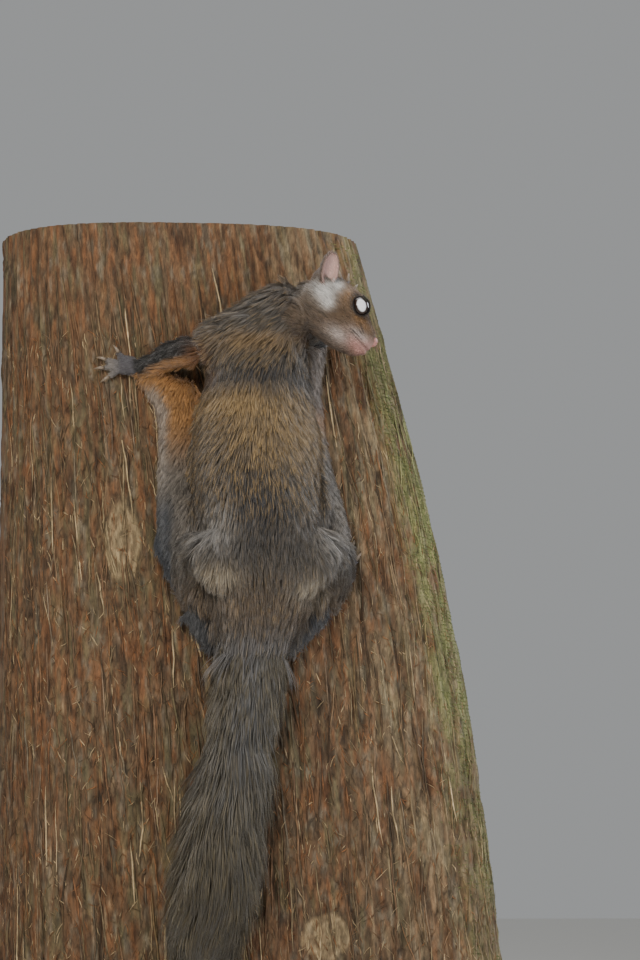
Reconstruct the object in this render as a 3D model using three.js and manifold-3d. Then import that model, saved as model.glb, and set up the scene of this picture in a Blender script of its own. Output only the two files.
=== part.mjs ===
import * as THREE from 'three';
import { mergeVertices } from 'three/addons/utils/BufferGeometryUtils.js';
import Module from 'manifold-3d';

const wasm = await Module();
wasm.setup();

// A giant flying squirrel clings head up to a cut length of trunk, its back to the front of the stand.
// Millimetres, +Z up, -Y to the front. The origin is at the middle of the stand base's underside.

// Clearance that touching pieces keep
const gap = 0.3;

// Stand
const baseWidth = 500;
const baseDepth = 330;
const baseThickness = 20;
const rodRadius = 8;
const rodLeftX = -120;
const rodRightX = 100;
const rodY = 8;

// Trunk: a slab with a sawn back, its lean and taper in the right edge
const perchBottom = 62;
const perchTop = 800;
const perchBackY = 70;
const perchLeftX = -235;
const perchRightLow = 243;
const perchRightHigh = 99;
const perchRightBow = 22;
const perchDepth = 135;
const perchPower = 2.6;
const barkRidge = 3.6;
const barkColumns = 72;
const barkRows = 12;
const barkClearance = 1.6;
const frontY = perchBackY - perchDepth;

// Head: measured back from the nose tip, up from it and out from its middle plane
const noseTip = new THREE.Vector3(99, frontY - 50, 682);
const headDrop = THREE.MathUtils.degToRad(35);
const headRoll = THREE.MathUtils.degToRad(7);
const eyeRadius = 9.4;
const eyeBack = 31;
const eyeUp = 15.5;
const eyeOut = 14.6;
const earLength = 35;
const earWidth = 18;
const earWall = 1.3;
const mouthBack = 23;
const mouthUp = -9.5;

// Limbs
const fingerRadius = 2.7;
const toeRadius = 2.9;
const clawLength = 9;

// Tail: the bushy end of the body, flattened toward the bark, its long hair in flat tapered locks
const tailTop = 404;
const tailTip = 92;
const tailAxisRise = 29;
const tailCoreShare = 0.46;
const lockRows = 7;
const locksAround = 6;
const lockLength = 76;
const lockWidth = 13;
const lockThickness = 3.4;
const lockRootSink = 5;

// Materials, with the colours of the coat under a soft light
const finishes = {
  coat: [0x5d544c, 0.95, 0],
  darkCoat: [0x3d3835, 0.95, 0],
  face: [0x7a6350, 0.95, 0],
  membrane: [0x9a6a3c, 0.95, 0],
  skin: [0xc08d84, 0.6, 0],
  eye: [0x14100e, 0.08, 0],
  hand: [0x8d8681, 0.85, 0],
  bark: [0x5b3f33, 0.95, 0],
  base: [0x2b2724, 0.45, 0],
  rod: [0xb8bbbd, 0.3, 1],
};

// Geometry helpers
function closedSolid(points, triangles) {
  let volume = 0;
  for (let i = 0; i < triangles.length; i += 3) {
    const [a, b, c] = [points[triangles[i]], points[triangles[i + 1]], points[triangles[i + 2]]];
    volume += a.dot(b.clone().cross(c));
  }
  const turned = volume < 0 ? triangles.slice().reverse() : triangles;
  const vertProperties = new Float32Array(points.flatMap((point) => [point.x, point.y, point.z]));
  return new wasm.Manifold(new wasm.Mesh({ numProp: 3, vertProperties, triVerts: new Uint32Array(turned) }));
}

function fromGeometry(geometry, matrix = new THREE.Matrix4()) {
  const bare = geometry.clone().applyMatrix4(matrix);
  bare.deleteAttribute('normal');
  bare.deleteAttribute('uv');
  const merged = mergeVertices(bare, 1e-4);
  const places = merged.attributes.position;
  const points = [];
  for (let i = 0; i < places.count; i += 1) points.push(new THREE.Vector3().fromBufferAttribute(places, i));
  const used = Array.from(merged.index.array);
  const triangles = [];
  for (let i = 0; i < used.length; i += 3) {
    const [a, b, c] = used.slice(i, i + 3);
    if (a !== b && b !== c && c !== a) triangles.push(a, b, c);
  }
  return closedSolid(points, triangles);
}

function fromRings(rings, startPoint, endPoint) {
  const sides = rings[0].length;
  const points = [...rings.flat(), startPoint, endPoint];
  const start = points.length - 2;
  const end = points.length - 1;
  const lastRow = (rings.length - 1) * sides;
  const triangles = [];
  for (let side = 0; side < sides; side += 1) {
    const next = (side + 1) % sides;
    triangles.push(start, next, side, end, lastRow + side, lastRow + next);
    for (let row = 0; row + 1 < rings.length; row += 1) {
      const a = row * sides + side;
      const b = row * sides + next;
      triangles.push(a, b, b + sides, a, b + sides, a + sides);
    }
  }
  return closedSolid(points, triangles);
}

function interpolator(keys) {
  const size = keys[0].length - 1;
  const values = keys.flatMap((key) => key.slice(1));
  const curve = new THREE.CubicInterpolant(keys.map((key) => key[0]), values, size, new Float32Array(size));
  return (t) => Array.from(curve.evaluate(t));
}

// A body form: keys hold the station, the middle across, the half width, the top and the bottom,
// and place turns a station, a distance across and a height into a point
function loft(keys, place, { rows, sides, grow = 0, power = 2.3, waist = 0.4 }) {
  const sampled = interpolator(keys);
  const first = keys[0][0];
  const last = keys[keys.length - 1][0];
  const rings = [];
  const middles = [];
  for (let row = 0; row <= rows; row += 1) {
    const station = first + ((last - first) * row) / rows;
    const [middle, halfWidth, top, bottom] = sampled(station);
    const level = bottom + (top - bottom) * waist;
    const ring = [];
    for (let side = 0; side < sides; side += 1) {
      const angle = (2 * Math.PI * side) / sides;
      const across = Math.sign(Math.cos(angle)) * Math.abs(Math.cos(angle)) ** (2 / power);
      const height = Math.sign(Math.sin(angle)) * Math.abs(Math.sin(angle)) ** (2 / power);
      const reach = height > 0 ? top - level : level - bottom;
      ring.push(place(station, middle + across * (halfWidth + grow), level + height * (reach + grow)));
    }
    rings.push(ring);
    middles.push(place(station, middle, level));
  }
  return fromRings(rings, middles[0], middles[middles.length - 1]);
}

// A limb: stations hold a point, the half width along the bark and the half depth off it.
// The ends are rounded over the given share of the length.
function limb(stations, { sides = 12, rows = 6, grow = 0, rounding = 0.14 } = {}) {
  const path = new THREE.CatmullRomCurve3(stations.map((station) => station[0]), false, 'centripetal');
  const steps = stations.length - 1;
  const keys = stations.map((station, index) => [index / steps, station[1], station[2]]);
  const sampled = interpolator(keys);
  const shares = [0.2 * rounding];
  for (let row = 0; row <= rows; row += 1) shares.push(rounding + ((1 - 2 * rounding) * row) / rows);
  shares.push(1 - 0.2 * rounding);
  const rings = shares.map((share) => {
    const centre = path.getPoint(share);
    const along = path.getTangent(share);
    const out = new THREE.Vector3(0, -1, 0).addScaledVector(along, along.y).normalize();
    const across = new THREE.Vector3().crossVectors(along, out);
    const edge = Math.min(1, share / rounding, (1 - share) / rounding);
    const swell = Math.sqrt(1 - (1 - edge) ** 2);
    const [wide, deep] = sampled(share);
    const ring = [];
    for (let side = 0; side < sides; side += 1) {
      const angle = (2 * Math.PI * side) / sides;
      const point = centre.clone().addScaledVector(across, Math.cos(angle) * (wide * swell + grow));
      ring.push(point.addScaledVector(out, Math.sin(angle) * (deep * swell + grow)));
    }
    return ring;
  });
  const first = path.getPoint(0).addScaledVector(path.getTangent(0), -grow);
  const last = path.getPoint(1).addScaledVector(path.getTangent(1), grow);
  return fromRings(rings, first, last);
}

function halfSpace(point, normal) {
  const size = 1400;
  const outward = normal.clone().normalize();
  const turn = new THREE.Quaternion().setFromUnitVectors(new THREE.Vector3(0, 0, 1), outward);
  const centre = point.clone().addScaledVector(outward, size / 2);
  const matrix = new THREE.Matrix4().compose(centre, turn, new THREE.Vector3(1, 1, 1));
  return fromGeometry(new THREE.BoxGeometry(size, size, size), matrix);
}

function ellipsoid(centre, axes, radii, columns = 12, rows = 8) {
  const matrix = new THREE.Matrix4().makeBasis(...axes).setPosition(centre);
  matrix.multiply(new THREE.Matrix4().makeScale(...radii));
  return fromGeometry(new THREE.SphereGeometry(1, columns, rows), matrix);
}

function joined(solids) {
  return solids.reduce((sum, next) => sum.add(next));
}

function largestPiece(solid) {
  return solid.decompose().reduce((best, next) => (next.volume() > best.volume() ? next : best));
}

function seededRandom(seed) {
  let state = seed;
  return () => {
    state = (state * 16807) % 2147483647;
    return state / 2147483647;
  };
}

const group = new THREE.Group();
group.name = 'flying_squirrel';

function addPart(name, solid, finish) {
  const mesh = largestPiece(solid).getMesh();
  const geometry = new THREE.BufferGeometry();
  geometry.setAttribute('position', new THREE.BufferAttribute(mesh.vertProperties, 3));
  geometry.setIndex(new THREE.BufferAttribute(mesh.triVerts, 1));
  const [color, roughness, metalness] = finishes[finish];
  const part = new THREE.Mesh(geometry, new THREE.MeshStandardMaterial({ color, roughness, metalness }));
  part.name = name;
  group.add(part);
}

// Trunk: the bark's front face at a place across and up
function trunkRight(z) {
  const share = (z - perchBottom) / (perchTop - perchBottom);
  const bow = perchRightBow * Math.sin(Math.PI * Math.min(Math.max(share, 0), 1));
  return THREE.MathUtils.lerp(perchRightLow, perchRightHigh, share) + bow;
}

function trunkFrontY(x, z) {
  const right = trunkRight(z);
  const halfWidth = (right - perchLeftX) / 2;
  const share = Math.min(Math.abs((x - (right + perchLeftX) / 2) / halfWidth), 0.999);
  return perchBackY - perchDepth * (1 - share ** perchPower) ** (1 / perchPower);
}

// Every second column is a groove between two strips of bark, deeper in some places than in others
function barkHeight(column, row) {
  const groove = column % 2 ? 0.62 : 0.1;
  const wander = 0.5 + 0.5 * Math.sin(column * 12.9 + row * 1.7) * Math.cos(column * 4.1 - row * 2.3);
  return -barkRidge * (groove + 0.38 * wander);
}

const knots = [
  { x: -126, z: 504, width: 16, length: 34, height: 9 },
  { x: 62, z: 150, width: 22, length: 20, height: 8 },
];

function knotHeight(x, z) {
  return knots.reduce((sum, knot) => {
    const distance = ((x - knot.x) / knot.width) ** 2 + ((z - knot.z) / knot.length) ** 2;
    return sum + knot.height * Math.exp(-distance);
  }, 0);
}

function trunkForm(columns = barkColumns, rows = barkRows, smooth = false) {
  const rings = [];
  const middles = [];
  for (let row = 0; row <= rows; row += 1) {
    const z = perchBottom + ((perchTop - perchBottom) * row) / rows;
    const right = trunkRight(z);
    const middleX = (right + perchLeftX) / 2;
    const halfWidth = (right - perchLeftX) / 2;
    const ring = [];
    for (let column = 0; column <= columns; column += 1) {
      const angle = Math.PI * (column / columns);
      const cosine = Math.cos(angle);
      const across = Math.sign(cosine) * Math.abs(cosine) ** (2 / perchPower);
      const forward = Math.sin(angle) ** (2 / perchPower);
      const x = middleX + across * halfWidth;
      const edge = Math.min(1, Math.sin(angle) * 3);
      const ridged = edge * barkHeight(column, row) + knotHeight(x, z);
      const height = smooth ? barkClearance : ridged;
      const outward = new THREE.Vector2(across ** 3, -forward).normalize();
      const y = perchBackY - forward * perchDepth;
      ring.push(new THREE.Vector3(x + outward.x * height, y + outward.y * height, z));
    }
    ring[0].y = perchBackY;
    ring[columns].y = perchBackY;
    rings.push(ring);
    middles.push(new THREE.Vector3(middleX, perchBackY, z));
  }
  rings.forEach((ring, row) => ring.push(middles[row]));
  const low = new THREE.Vector3(middles[0].x, perchBackY - perchDepth * 0.4, perchBottom);
  const high = new THREE.Vector3(middles[rows].x, perchBackY - perchDepth * 0.4, perchTop);
  return fromRings(rings, low, high);
}

function onBark(x, z, rise) {
  return new THREE.Vector3(x, trunkFrontY(x, z) + barkRidge - rise, z);
}

// Body places are given across, off the trunk's foremost plane, and up
function bodyPoint(x, off, z) {
  return new THREE.Vector3(x, frontY - off, z);
}

// Head places are given back from the nose tip, up, and out to the animal's right
const headBack = new THREE.Vector3(-Math.cos(headDrop), 0, Math.sin(headDrop));
const headLevelUp = new THREE.Vector3(Math.sin(headDrop), 0, Math.cos(headDrop));
const front = new THREE.Vector3(0, -1, 0);
const headUp = headLevelUp.clone().applyAxisAngle(headBack, headRoll);
const headOut = front.clone().applyAxisAngle(headBack, headRoll);

function headPoint(back, up, out) {
  const place = noseTip.clone().addScaledVector(headBack, back);
  return place.addScaledVector(headUp, up).addScaledVector(headOut, out);
}

// Torso: the rounded hips below, the saddle behind the shoulders and the shoulder hump above
function torsoForm(grow = 0) {
  const keys = [
    [tailTop + gap, -8, 32, 43, -4],
    [427, -4, 41, 54, -6],
    [450, -2, 50, 67, -8],
    [472, 0, 54, 79, -8],
    [495, -1, 55, 86, -8],
    [522, -3, 55, 89, -8],
    [558, -6, 58, 88, -8],
    [594, -6, 58, 84, -8],
    [630, -6, 52, 76, -6],
    [657, -5, 48, 71, -4],
    [684, -7, 48, 76, -2],
    [702, -7, 44, 73, 2],
    [716, -4, 32, 64, 10],
    [725, -2, 14, 50, 22],
  ];
  const place = (z, x, off) => bodyPoint(x, off, z);
  return loft(keys, place, { rows: 18, sides: 22, grow, waist: 0.32 });
}

function neckForm(grow = 0) {
  const stations = [
    [bodyPoint(-14, 40, 684), 33, 30],
    [bodyPoint(11, 43, 706), 32, 30],
    [headPoint(71, 0, 0), 24, 25],
  ];
  return limb(stations, { sides: 16, rows: 5, grow });
}

// Head: muzzle, brow, cheeks and the back of the skull
function headForm(grow = 0) {
  const keys = [
    [0.5, 0, 5.5, 5, -7.5],
    [4, 0, 8.6, 8.2, -15],
    [10, 0, 11.6, 12, -20.5],
    [16, 0, 13.6, 16, -22.5],
    [23, 0, 17.5, 21.5, -24],
    [32, 0, 23.2, 28.5, -25],
    [44, 0, 26.8, 31.3, -25.5],
    [58, 0, 27.4, 31, -25],
    [70, 0, 25, 27.5, -22],
    [80, 0, 19, 20, -16],
    [86, 0, 10, 11, -9],
  ];
  const place = (back, out, up) => headPoint(back, up, out);
  return loft(keys, place, { rows: 16, sides: 18, grow, power: 2.15, waist: 0.48 });
}

function bodyForm(grow = 0) {
  return joined([torsoForm(grow), neckForm(grow), headForm(grow)]);
}

// Eyes, lids, lips, mouth line and nostrils
function eyeBall(side, grow = 0) {
  const radius = eyeRadius + grow;
  const centre = headPoint(eyeBack, eyeUp, side * eyeOut);
  return ellipsoid(centre, [headBack, headUp, headOut], [radius, radius, radius], 14, 9);
}

function lidRing(side) {
  const outward = headOut.clone().multiplyScalar(side);
  outward.addScaledVector(headBack, -0.22).addScaledVector(headUp, 0.16);
  const turn = new THREE.Quaternion().setFromUnitVectors(new THREE.Vector3(0, 0, 1), outward.normalize());
  const centre = headPoint(eyeBack, eyeUp, side * eyeOut).addScaledVector(outward, eyeRadius * 0.42);
  const matrix = new THREE.Matrix4().compose(centre, turn, new THREE.Vector3(1, 1, 1));
  return fromGeometry(new THREE.TorusGeometry(eyeRadius * 0.93, 1.9, 5, 12), matrix);
}

function lip(up, swell) {
  const places = [[mouthBack + 2, 1, 12.8], [14, 0, 11.6], [6.5, -0.4, 8.4], [3.2, -0.6, 4]];
  const mirrored = places.slice().reverse();
  const stations = [
    ...places.map(([back, rise, out]) => [headPoint(back, up + rise, out), swell, swell]),
    ...mirrored.map(([back, rise, out]) => [headPoint(back, up + rise, -out), swell, swell]),
  ];
  const points = stations.map((station) => station[0]);
  const curve = new THREE.CatmullRomCurve3(points);
  const outline = new THREE.EllipseCurve(0, 0, swell, swell, 0, 2 * Math.PI).getPoints(6);
  const section = new THREE.Shape(outline.slice(0, 6));
  return fromGeometry(new THREE.ExtrudeGeometry(section, { steps: 10, extrudePath: curve }));
}

function mouthCut() {
  const outline = new THREE.Shape();
  outline.moveTo(-4, -0.5);
  outline.quadraticCurveTo(12, -0.9, mouthBack, 1.2);
  outline.lineTo(mouthBack, 1.9);
  outline.quadraticCurveTo(12, 0.1, -4, 0.5);
  const slot = new THREE.ExtrudeGeometry(outline, { depth: 60, bevelEnabled: false, curveSegments: 5 });
  const matrix = new THREE.Matrix4().makeBasis(headBack, headUp, headOut);
  matrix.setPosition(headPoint(0, mouthUp, -30));
  const core = ellipsoid(headPoint(20, mouthUp, 0), [headBack, headUp, headOut], [16, 12, 8.5], 10, 6);
  return fromGeometry(slot, matrix).subtract(core);
}

function nosePad(grow = 0) {
  const radii = [4.6 + grow, 4.6 + grow, 6 + grow];
  return ellipsoid(headPoint(2.8, 0.8, 0), [headBack, headUp, headOut], radii, 10, 7);
}

function nostril(side) {
  return limb([
    [headPoint(-3, 0.2, side * 3.4), 1.2, 1.2],
    [headPoint(0.2, 0.6, side * 3), 1.2, 1.2],
    [headPoint(2, 1.4, side * 2.4), 0.9, 0.9],
  ], { sides: 6, rows: 1 });
}

// Ear: a thin cup that opens outward and forward, rooted in the side of the skull
function earCup(side) {
  const long = headBack.clone().multiplyScalar(12).addScaledVector(headUp, 27);
  long.addScaledVector(headOut, side * 5);
  long.normalize();
  const open = headOut.clone().multiplyScalar(side).addScaledVector(headBack, -0.45);
  open.addScaledVector(long, -open.dot(long)).normalize();
  const wide = new THREE.Vector3().crossVectors(long, open);
  const centre = headPoint(71.5, 24, side * 25);
  const axes = [wide, long, open];
  const outer = ellipsoid(centre, axes, [earWidth / 2, earLength / 2, 7.5], 12, 7);
  const hollowCentre = centre.clone().addScaledVector(open, 4.2).addScaledVector(long, 1);
  const hollowRadii = [earWidth / 2 - earWall * 0.6, earLength / 2 - earWall * 1.4, 8.4];
  return outer.subtract(ellipsoid(hollowCentre, axes, hollowRadii, 10, 6));
}

// Arms: the left one reaches out across the bark, the right one lies under the head
const arms = {
  left: {
    upper: [
      [bodyPoint(-18, 42, 690), 24, 22],
      [bodyPoint(-40, 42, 684), 21, 20],
      [bodyPoint(-59, 42, 677), 16, 15],
    ],
    lower: [
      [bodyPoint(-53, 40, 677), 14, 14],
      [onBark(-80, 674, 24), 13.5, 12],
      [onBark(-100, 667, 15), 9.5, 8.5],
      [onBark(-112, 664, 10), 7.5, 6.5],
    ],
    wrist: [-110, 664],
    palm: [-122, 667],
    fingers: [[-131, 680], [-143, 673], [-145, 665], [-140, 656]],
  },
  right: {
    upper: [[bodyPoint(8, 36, 690), 22, 20], [bodyPoint(26, 28, 692), 18, 16], [onBark(44, 694, 18), 14, 12]],
    lower: [
      [onBark(40, 693, 19), 13, 12],
      [onBark(58, 703, 14), 11, 10],
      [onBark(70, 714, 10), 8, 7.5],
      [onBark(75, 722, 9), 7, 6.5],
    ],
    wrist: [75, 721],
    palm: [79, 733],
    fingers: [[68, 752], [76, 757], [84, 755], [90, 747]],
  },
};

function claw(from, toward, length, grow) {
  const along = toward.clone().sub(from).normalize();
  const stations = [
    [from.clone().addScaledVector(along, -2), 1.6, 1.9],
    [from.clone().addScaledVector(along, length * 0.55).addScaledVector(front, 0.4), 1.2, 1.5],
    [from.clone().addScaledVector(along, length).addScaledVector(front, -2.6), 0.4, 0.5],
  ];
  return limb(stations, { sides: 4, rows: 1, rounding: 0.1, grow });
}

function digit(root, tip, radius, arch, grow) {
  const [rootX, rootZ] = root;
  const [tipX, tipZ] = tip;
  const mid = [(rootX + tipX) / 2, (rootZ + tipZ) / 2];
  const end = onBark(tipX, tipZ, radius + 0.6);
  const bend = onBark(...mid, arch + radius);
  const toe = limb([
    [onBark(rootX, rootZ, radius + 2.5), radius * 1.1, radius],
    [bend, radius, radius],
    [end, radius * 0.95, radius * 0.85],
  ], { sides: 5, rows: 2, grow });
  return toe.add(claw(end, end.clone().add(end.clone().sub(bend)), clawLength, grow));
}

function handForm({ wrist, palm, fingers }, grow = 0) {
  const [wristX, wristZ] = wrist;
  const [palmX, palmZ] = palm;
  const pad = limb([
    [onBark(wristX, wristZ, 8), 6.5, 6],
    [onBark(palmX, palmZ, 6.5), 9, 6],
    [onBark(palmX * 1.6 - wristX * 0.6, palmZ * 1.6 - wristZ * 0.6, 5), 8, 4.5],
  ], { sides: 10, rows: 3, grow });
  const digits = fingers.map((finger) => {
    const root = [THREE.MathUtils.lerp(palmX, finger[0], 0.15), THREE.MathUtils.lerp(palmZ, finger[1], 0.15)];
    return digit(root, finger, fingerRadius, 4.5, grow);
  });
  return joined([pad, ...digits]);
}

// Legs: drawn up at the sides, each foot under the edge of the membrane
const legs = {
  left: {
    thigh: [
      [bodyPoint(-16, 44, 476), 34, 30],
      [bodyPoint(-40, 45, 494), 31, 31],
      [bodyPoint(-57, 42, 514), 22, 24],
    ],
    shank: [
      [bodyPoint(-58, 38, 512), 17, 18],
      [onBark(-67, 482, 22), 15, 15],
      [onBark(-66, 458, 12), 10, 9],
      [onBark(-63, 448, 9), 8, 7],
    ],
    heel: [-62, 445],
    ball: [-77, 478],
    toes: [[-68, 502], [-73, 507], [-79, 507], [-84, 502], [-88, 492]],
  },
  right: {
    thigh: [
      [bodyPoint(14, 42, 476), 34, 30],
      [bodyPoint(40, 40, 494), 31, 31],
      [bodyPoint(60, 34, 512), 22, 24],
    ],
    shank: [
      [bodyPoint(61, 28, 510), 17, 18],
      [onBark(70, 482, 22), 15, 15],
      [onBark(67, 458, 12), 10, 9],
      [onBark(64, 448, 9), 8, 7],
    ],
    heel: [63, 445],
    ball: [78, 478],
    toes: [[69, 502], [74, 507], [80, 507], [85, 502], [89, 492]],
  },
};

function footForm({ heel, ball, toes }, grow = 0) {
  const middle = [(heel[0] + ball[0]) / 2, (heel[1] + ball[1]) / 2];
  const sole = limb([
    [onBark(...heel, 7), 6.5, 6],
    [onBark(...middle, 6.5), 8, 6],
    [onBark(...ball, 5.5), 10, 5.5],
    [onBark(THREE.MathUtils.lerp(ball[0], toes[2][0], 0.3), ball[1] + 7, 4.5), 9, 4.5],
  ], { sides: 8, rows: 3, grow });
  const digits = toes.map((toe) => {
    const root = [THREE.MathUtils.lerp(ball[0], toe[0], 0.25), THREE.MathUtils.lerp(ball[1], toe[1], 0.25)];
    return digit(root, toe, toeRadius, 4, grow);
  });
  return joined([sole, ...digits]);
}

// The room that a foot takes under the edge of the membrane
function footRoom({ heel, ball, toes }) {
  return limb([
    [onBark(heel[0], heel[1] - 6, 4), 11, 14],
    [onBark(...ball, 3), 17, 15],
    [onBark(toes[2][0], toes[2][1] + 16, 2), 16, 13],
  ], { sides: 8, rows: 3 });
}

// Gliding membrane: folded along each flank from wrist to ankle, then on to the tail's root
const membranes = {
  left: [
    [672, -112, 4, 12, -6],
    [662, -97, 20, 16, -6],
    [648, -82, 30, 20, -6],
    [630, -74, 24, 24, -6],
    [600, -75, 20, 26, -6],
    [560, -77, 18, 28, -6],
    [520, -79, 17, 29, -6],
    [490, -77, 16, 26, -6],
    [468, -72, 15, 20, -6],
    [456, -68, 10, 12, -6],
  ],
  right: [
    [716, 70, 4, 10, -6],
    [700, 54, 12, 14, -6],
    [680, 45, 16, 20, -6],
    [650, 40, 17, 24, -6],
    [610, 42, 18, 26, -6],
    [570, 50, 18, 28, -6],
    [530, 63, 17, 29, -6],
    [495, 71, 16, 26, -6],
    [470, 70, 15, 20, -6],
    [456, 68, 10, 12, -6],
  ],
};
const tailWebs = {
  left: [[464, -70, 9, 14, -5], [446, -58, 17, 18, -5], [425, -45, 18, 22, -5], [408, -38, 12, 18, -5]],
  right: [[464, 69, 9, 14, -5], [446, 50, 19, 18, -5], [425, 32, 19, 22, -5], [408, 20, 12, 18, -5]],
};

function membraneForm(keys, grow = 0) {
  const place = (down, x, rise) => onBark(x, -down, rise);
  const downward = keys.map(([z, ...rest]) => [-z, ...rest]);
  return loft(downward, place, { rows: 11, sides: 12, grow, power: 2.2, waist: 0.35 });
}

// Tail: a bushy brush that hangs down the bark and drifts to the left.
// The keys give the outline of the hair out to the tips.
const tailKeys = [
  [-tailTop, -9, 30, 43, -2],
  [-385, -12, 33, 50, 0],
  [-360, -16, 36, 56, 0],
  [-315, -23, 39, 60, 0],
  [-270, -31, 42, 62, 0],
  [-225, -38, 43, 62, 1],
  [-180, -44, 40, 58, 3],
  [-140, -49, 34, 50, 6],
  [-110, -52, 23, 40, 10],
  [-tailTip, -54, 8, 30, 18],
];
const tailAt = interpolator(tailKeys);

function tailPlace(down, x, rise) {
  return onBark(x, -down, rise);
}

// The share of the outline that the dense under hair fills: all of it at the root, under half farther down
function tailCoreAt(z) {
  const share = THREE.MathUtils.smoothstep(tailTop - z, 6, 46);
  return THREE.MathUtils.lerp(1, tailCoreShare, share);
}

function tailCore() {
  const keys = [];
  for (let z = tailTop; z > tailTip + 40; z -= 24) {
    const [middle, halfWidth, top, bottom] = tailAt(-z);
    const core = tailCoreAt(z);
    const low = tailAxisRise + (bottom - tailAxisRise) * core;
    keys.push([-z, middle, halfWidth * core, tailAxisRise + (top - tailAxisRise) * core, low]);
  }
  return loft(keys, tailPlace, { rows: 9, sides: 10, power: 2.1, waist: 0.45 });
}

// A point of the tail at a turn round its axis, at a share of the way out to the outline
function tailPoint(z, turn, reach) {
  const [middle, halfWidth, top, bottom] = tailAt(-z);
  const height = Math.sin(turn);
  const off = height > 0 ? top - tailAxisRise : tailAxisRise - bottom;
  return onBark(middle + Math.cos(turn) * halfWidth * reach, z, tailAxisRise + height * off * reach);
}

// A flat lock: rooted in the core, widest at a third of its length, bent out to its tip at the outline
function tailLock(z, turn, length, width, twist) {
  const stations = [[0, 0.5], [0.35, 1], [0.75, 0.65]];
  const rings = stations.map(([share, fullness]) => {
    const down = z - length * share;
    const reach = THREE.MathUtils.lerp(tailCoreAt(z) * 0.86, 0.95, share ** 0.75);
    const centre = tailPoint(down, turn + twist * share, reach);
    const outer = tailPoint(down, turn + twist * share, reach + 0.1).sub(centre).normalize();
    const along = new THREE.Vector3(0, 0, -1);
    const across = new THREE.Vector3().crossVectors(outer, along).normalize();
    const wide = width * fullness;
    const thick = lockThickness * fullness;
    return [[1, 0], [0, 1], [-1, 0], [0, -1]].map(([a, b]) => (
      centre.clone().addScaledVector(across, a * wide).addScaledVector(outer, b * thick)
    ));
  });
  const root = tailPoint(z + 2, turn, tailCoreAt(z) * 0.8);
  const tip = tailPoint(z - length, turn + twist, 1);
  return fromRings(rings, root, tip);
}

function tailForm() {
  const random = seededRandom(7);
  const locks = [];
  const lowestRoot = tailTip + lockLength - 6;
  for (let row = 0; row < lockRows; row += 1) {
    const z = THREE.MathUtils.lerp(tailTop - 10, lowestRoot, row / (lockRows - 1));
    for (let place = 0; place < locksAround; place += 1) {
      const turn = THREE.MathUtils.lerp(-0.22, 1.22, (place + 0.5 * (row % 2)) / (locksAround - 0.5)) * Math.PI;
      const length = lockLength * THREE.MathUtils.lerp(0.88, 1.08, random());
      const shift = THREE.MathUtils.lerp(-7, 7, random());
      const twist = THREE.MathUtils.lerp(-0.16, 0.16, random());
      const width = lockWidth * THREE.MathUtils.lerp(0.85, 1.12, random());
      const rootZ = Math.min(Math.max(z + shift, lowestRoot - 4), tailTop - 6);
      locks.push(tailLock(rootZ, turn, Math.min(length, rootZ - tailTip), width, twist));
    }
  }
  return joined([tailCore(), ...locks]);
}

// Parting planes of the neck
const neckLow = new THREE.Vector3(24, 0, 702);
const neckLowNormal = new THREE.Vector3(0.87, 0, 0.49);
const neckHigh = headPoint(77, 0, 0);
const neckHighNormal = headBack.clone().negate();

const trunkClear = trunkForm(18, 8, true);
const body = bodyForm();
const bodyClear = bodyForm(gap);

function beyond(point, normal) {
  return halfSpace(point.clone().addScaledVector(normal.clone().normalize(), gap / 2), normal);
}

function before(point, normal) {
  return beyond(point, normal.clone().negate());
}

addPart('torso', body.intersect(before(neckLow, neckLowNormal)).subtract(trunkClear), 'coat');
const neckPart = body.intersect(beyond(neckLow, neckLowNormal)).intersect(before(neckHigh, neckHighNormal));
addPart('neck', neckPart.subtract(trunkClear), 'coat');

const sides = { left: -1, right: 1 };
const lids = Object.values(sides).map(lidRing);
const lips = [lip(mouthUp + 1.6, 1.7), lip(mouthUp - 1.9, 1.9)];
const skull = body.intersect(beyond(neckHigh, neckHighNormal)).intersect(beyond(neckLow, neckLowNormal));
let head = joined([skull, ...lids, ...lips]);
head = head.subtract(mouthCut()).subtract(nosePad(gap)).subtract(trunkClear);
for (const side of Object.values(sides)) head = head.subtract(eyeBall(side, gap));
addPart('head', head, 'face');
addPart('nose', Object.values(sides).reduce((pad, side) => pad.subtract(nostril(side)), nosePad()), 'skin');
for (const [name, side] of Object.entries(sides)) {
  addPart(`eye_${name}`, eyeBall(side), 'eye');
  addPart(`ear_${name}`, earCup(side).subtract(bodyClear).subtract(trunkClear), 'skin');
}

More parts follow.
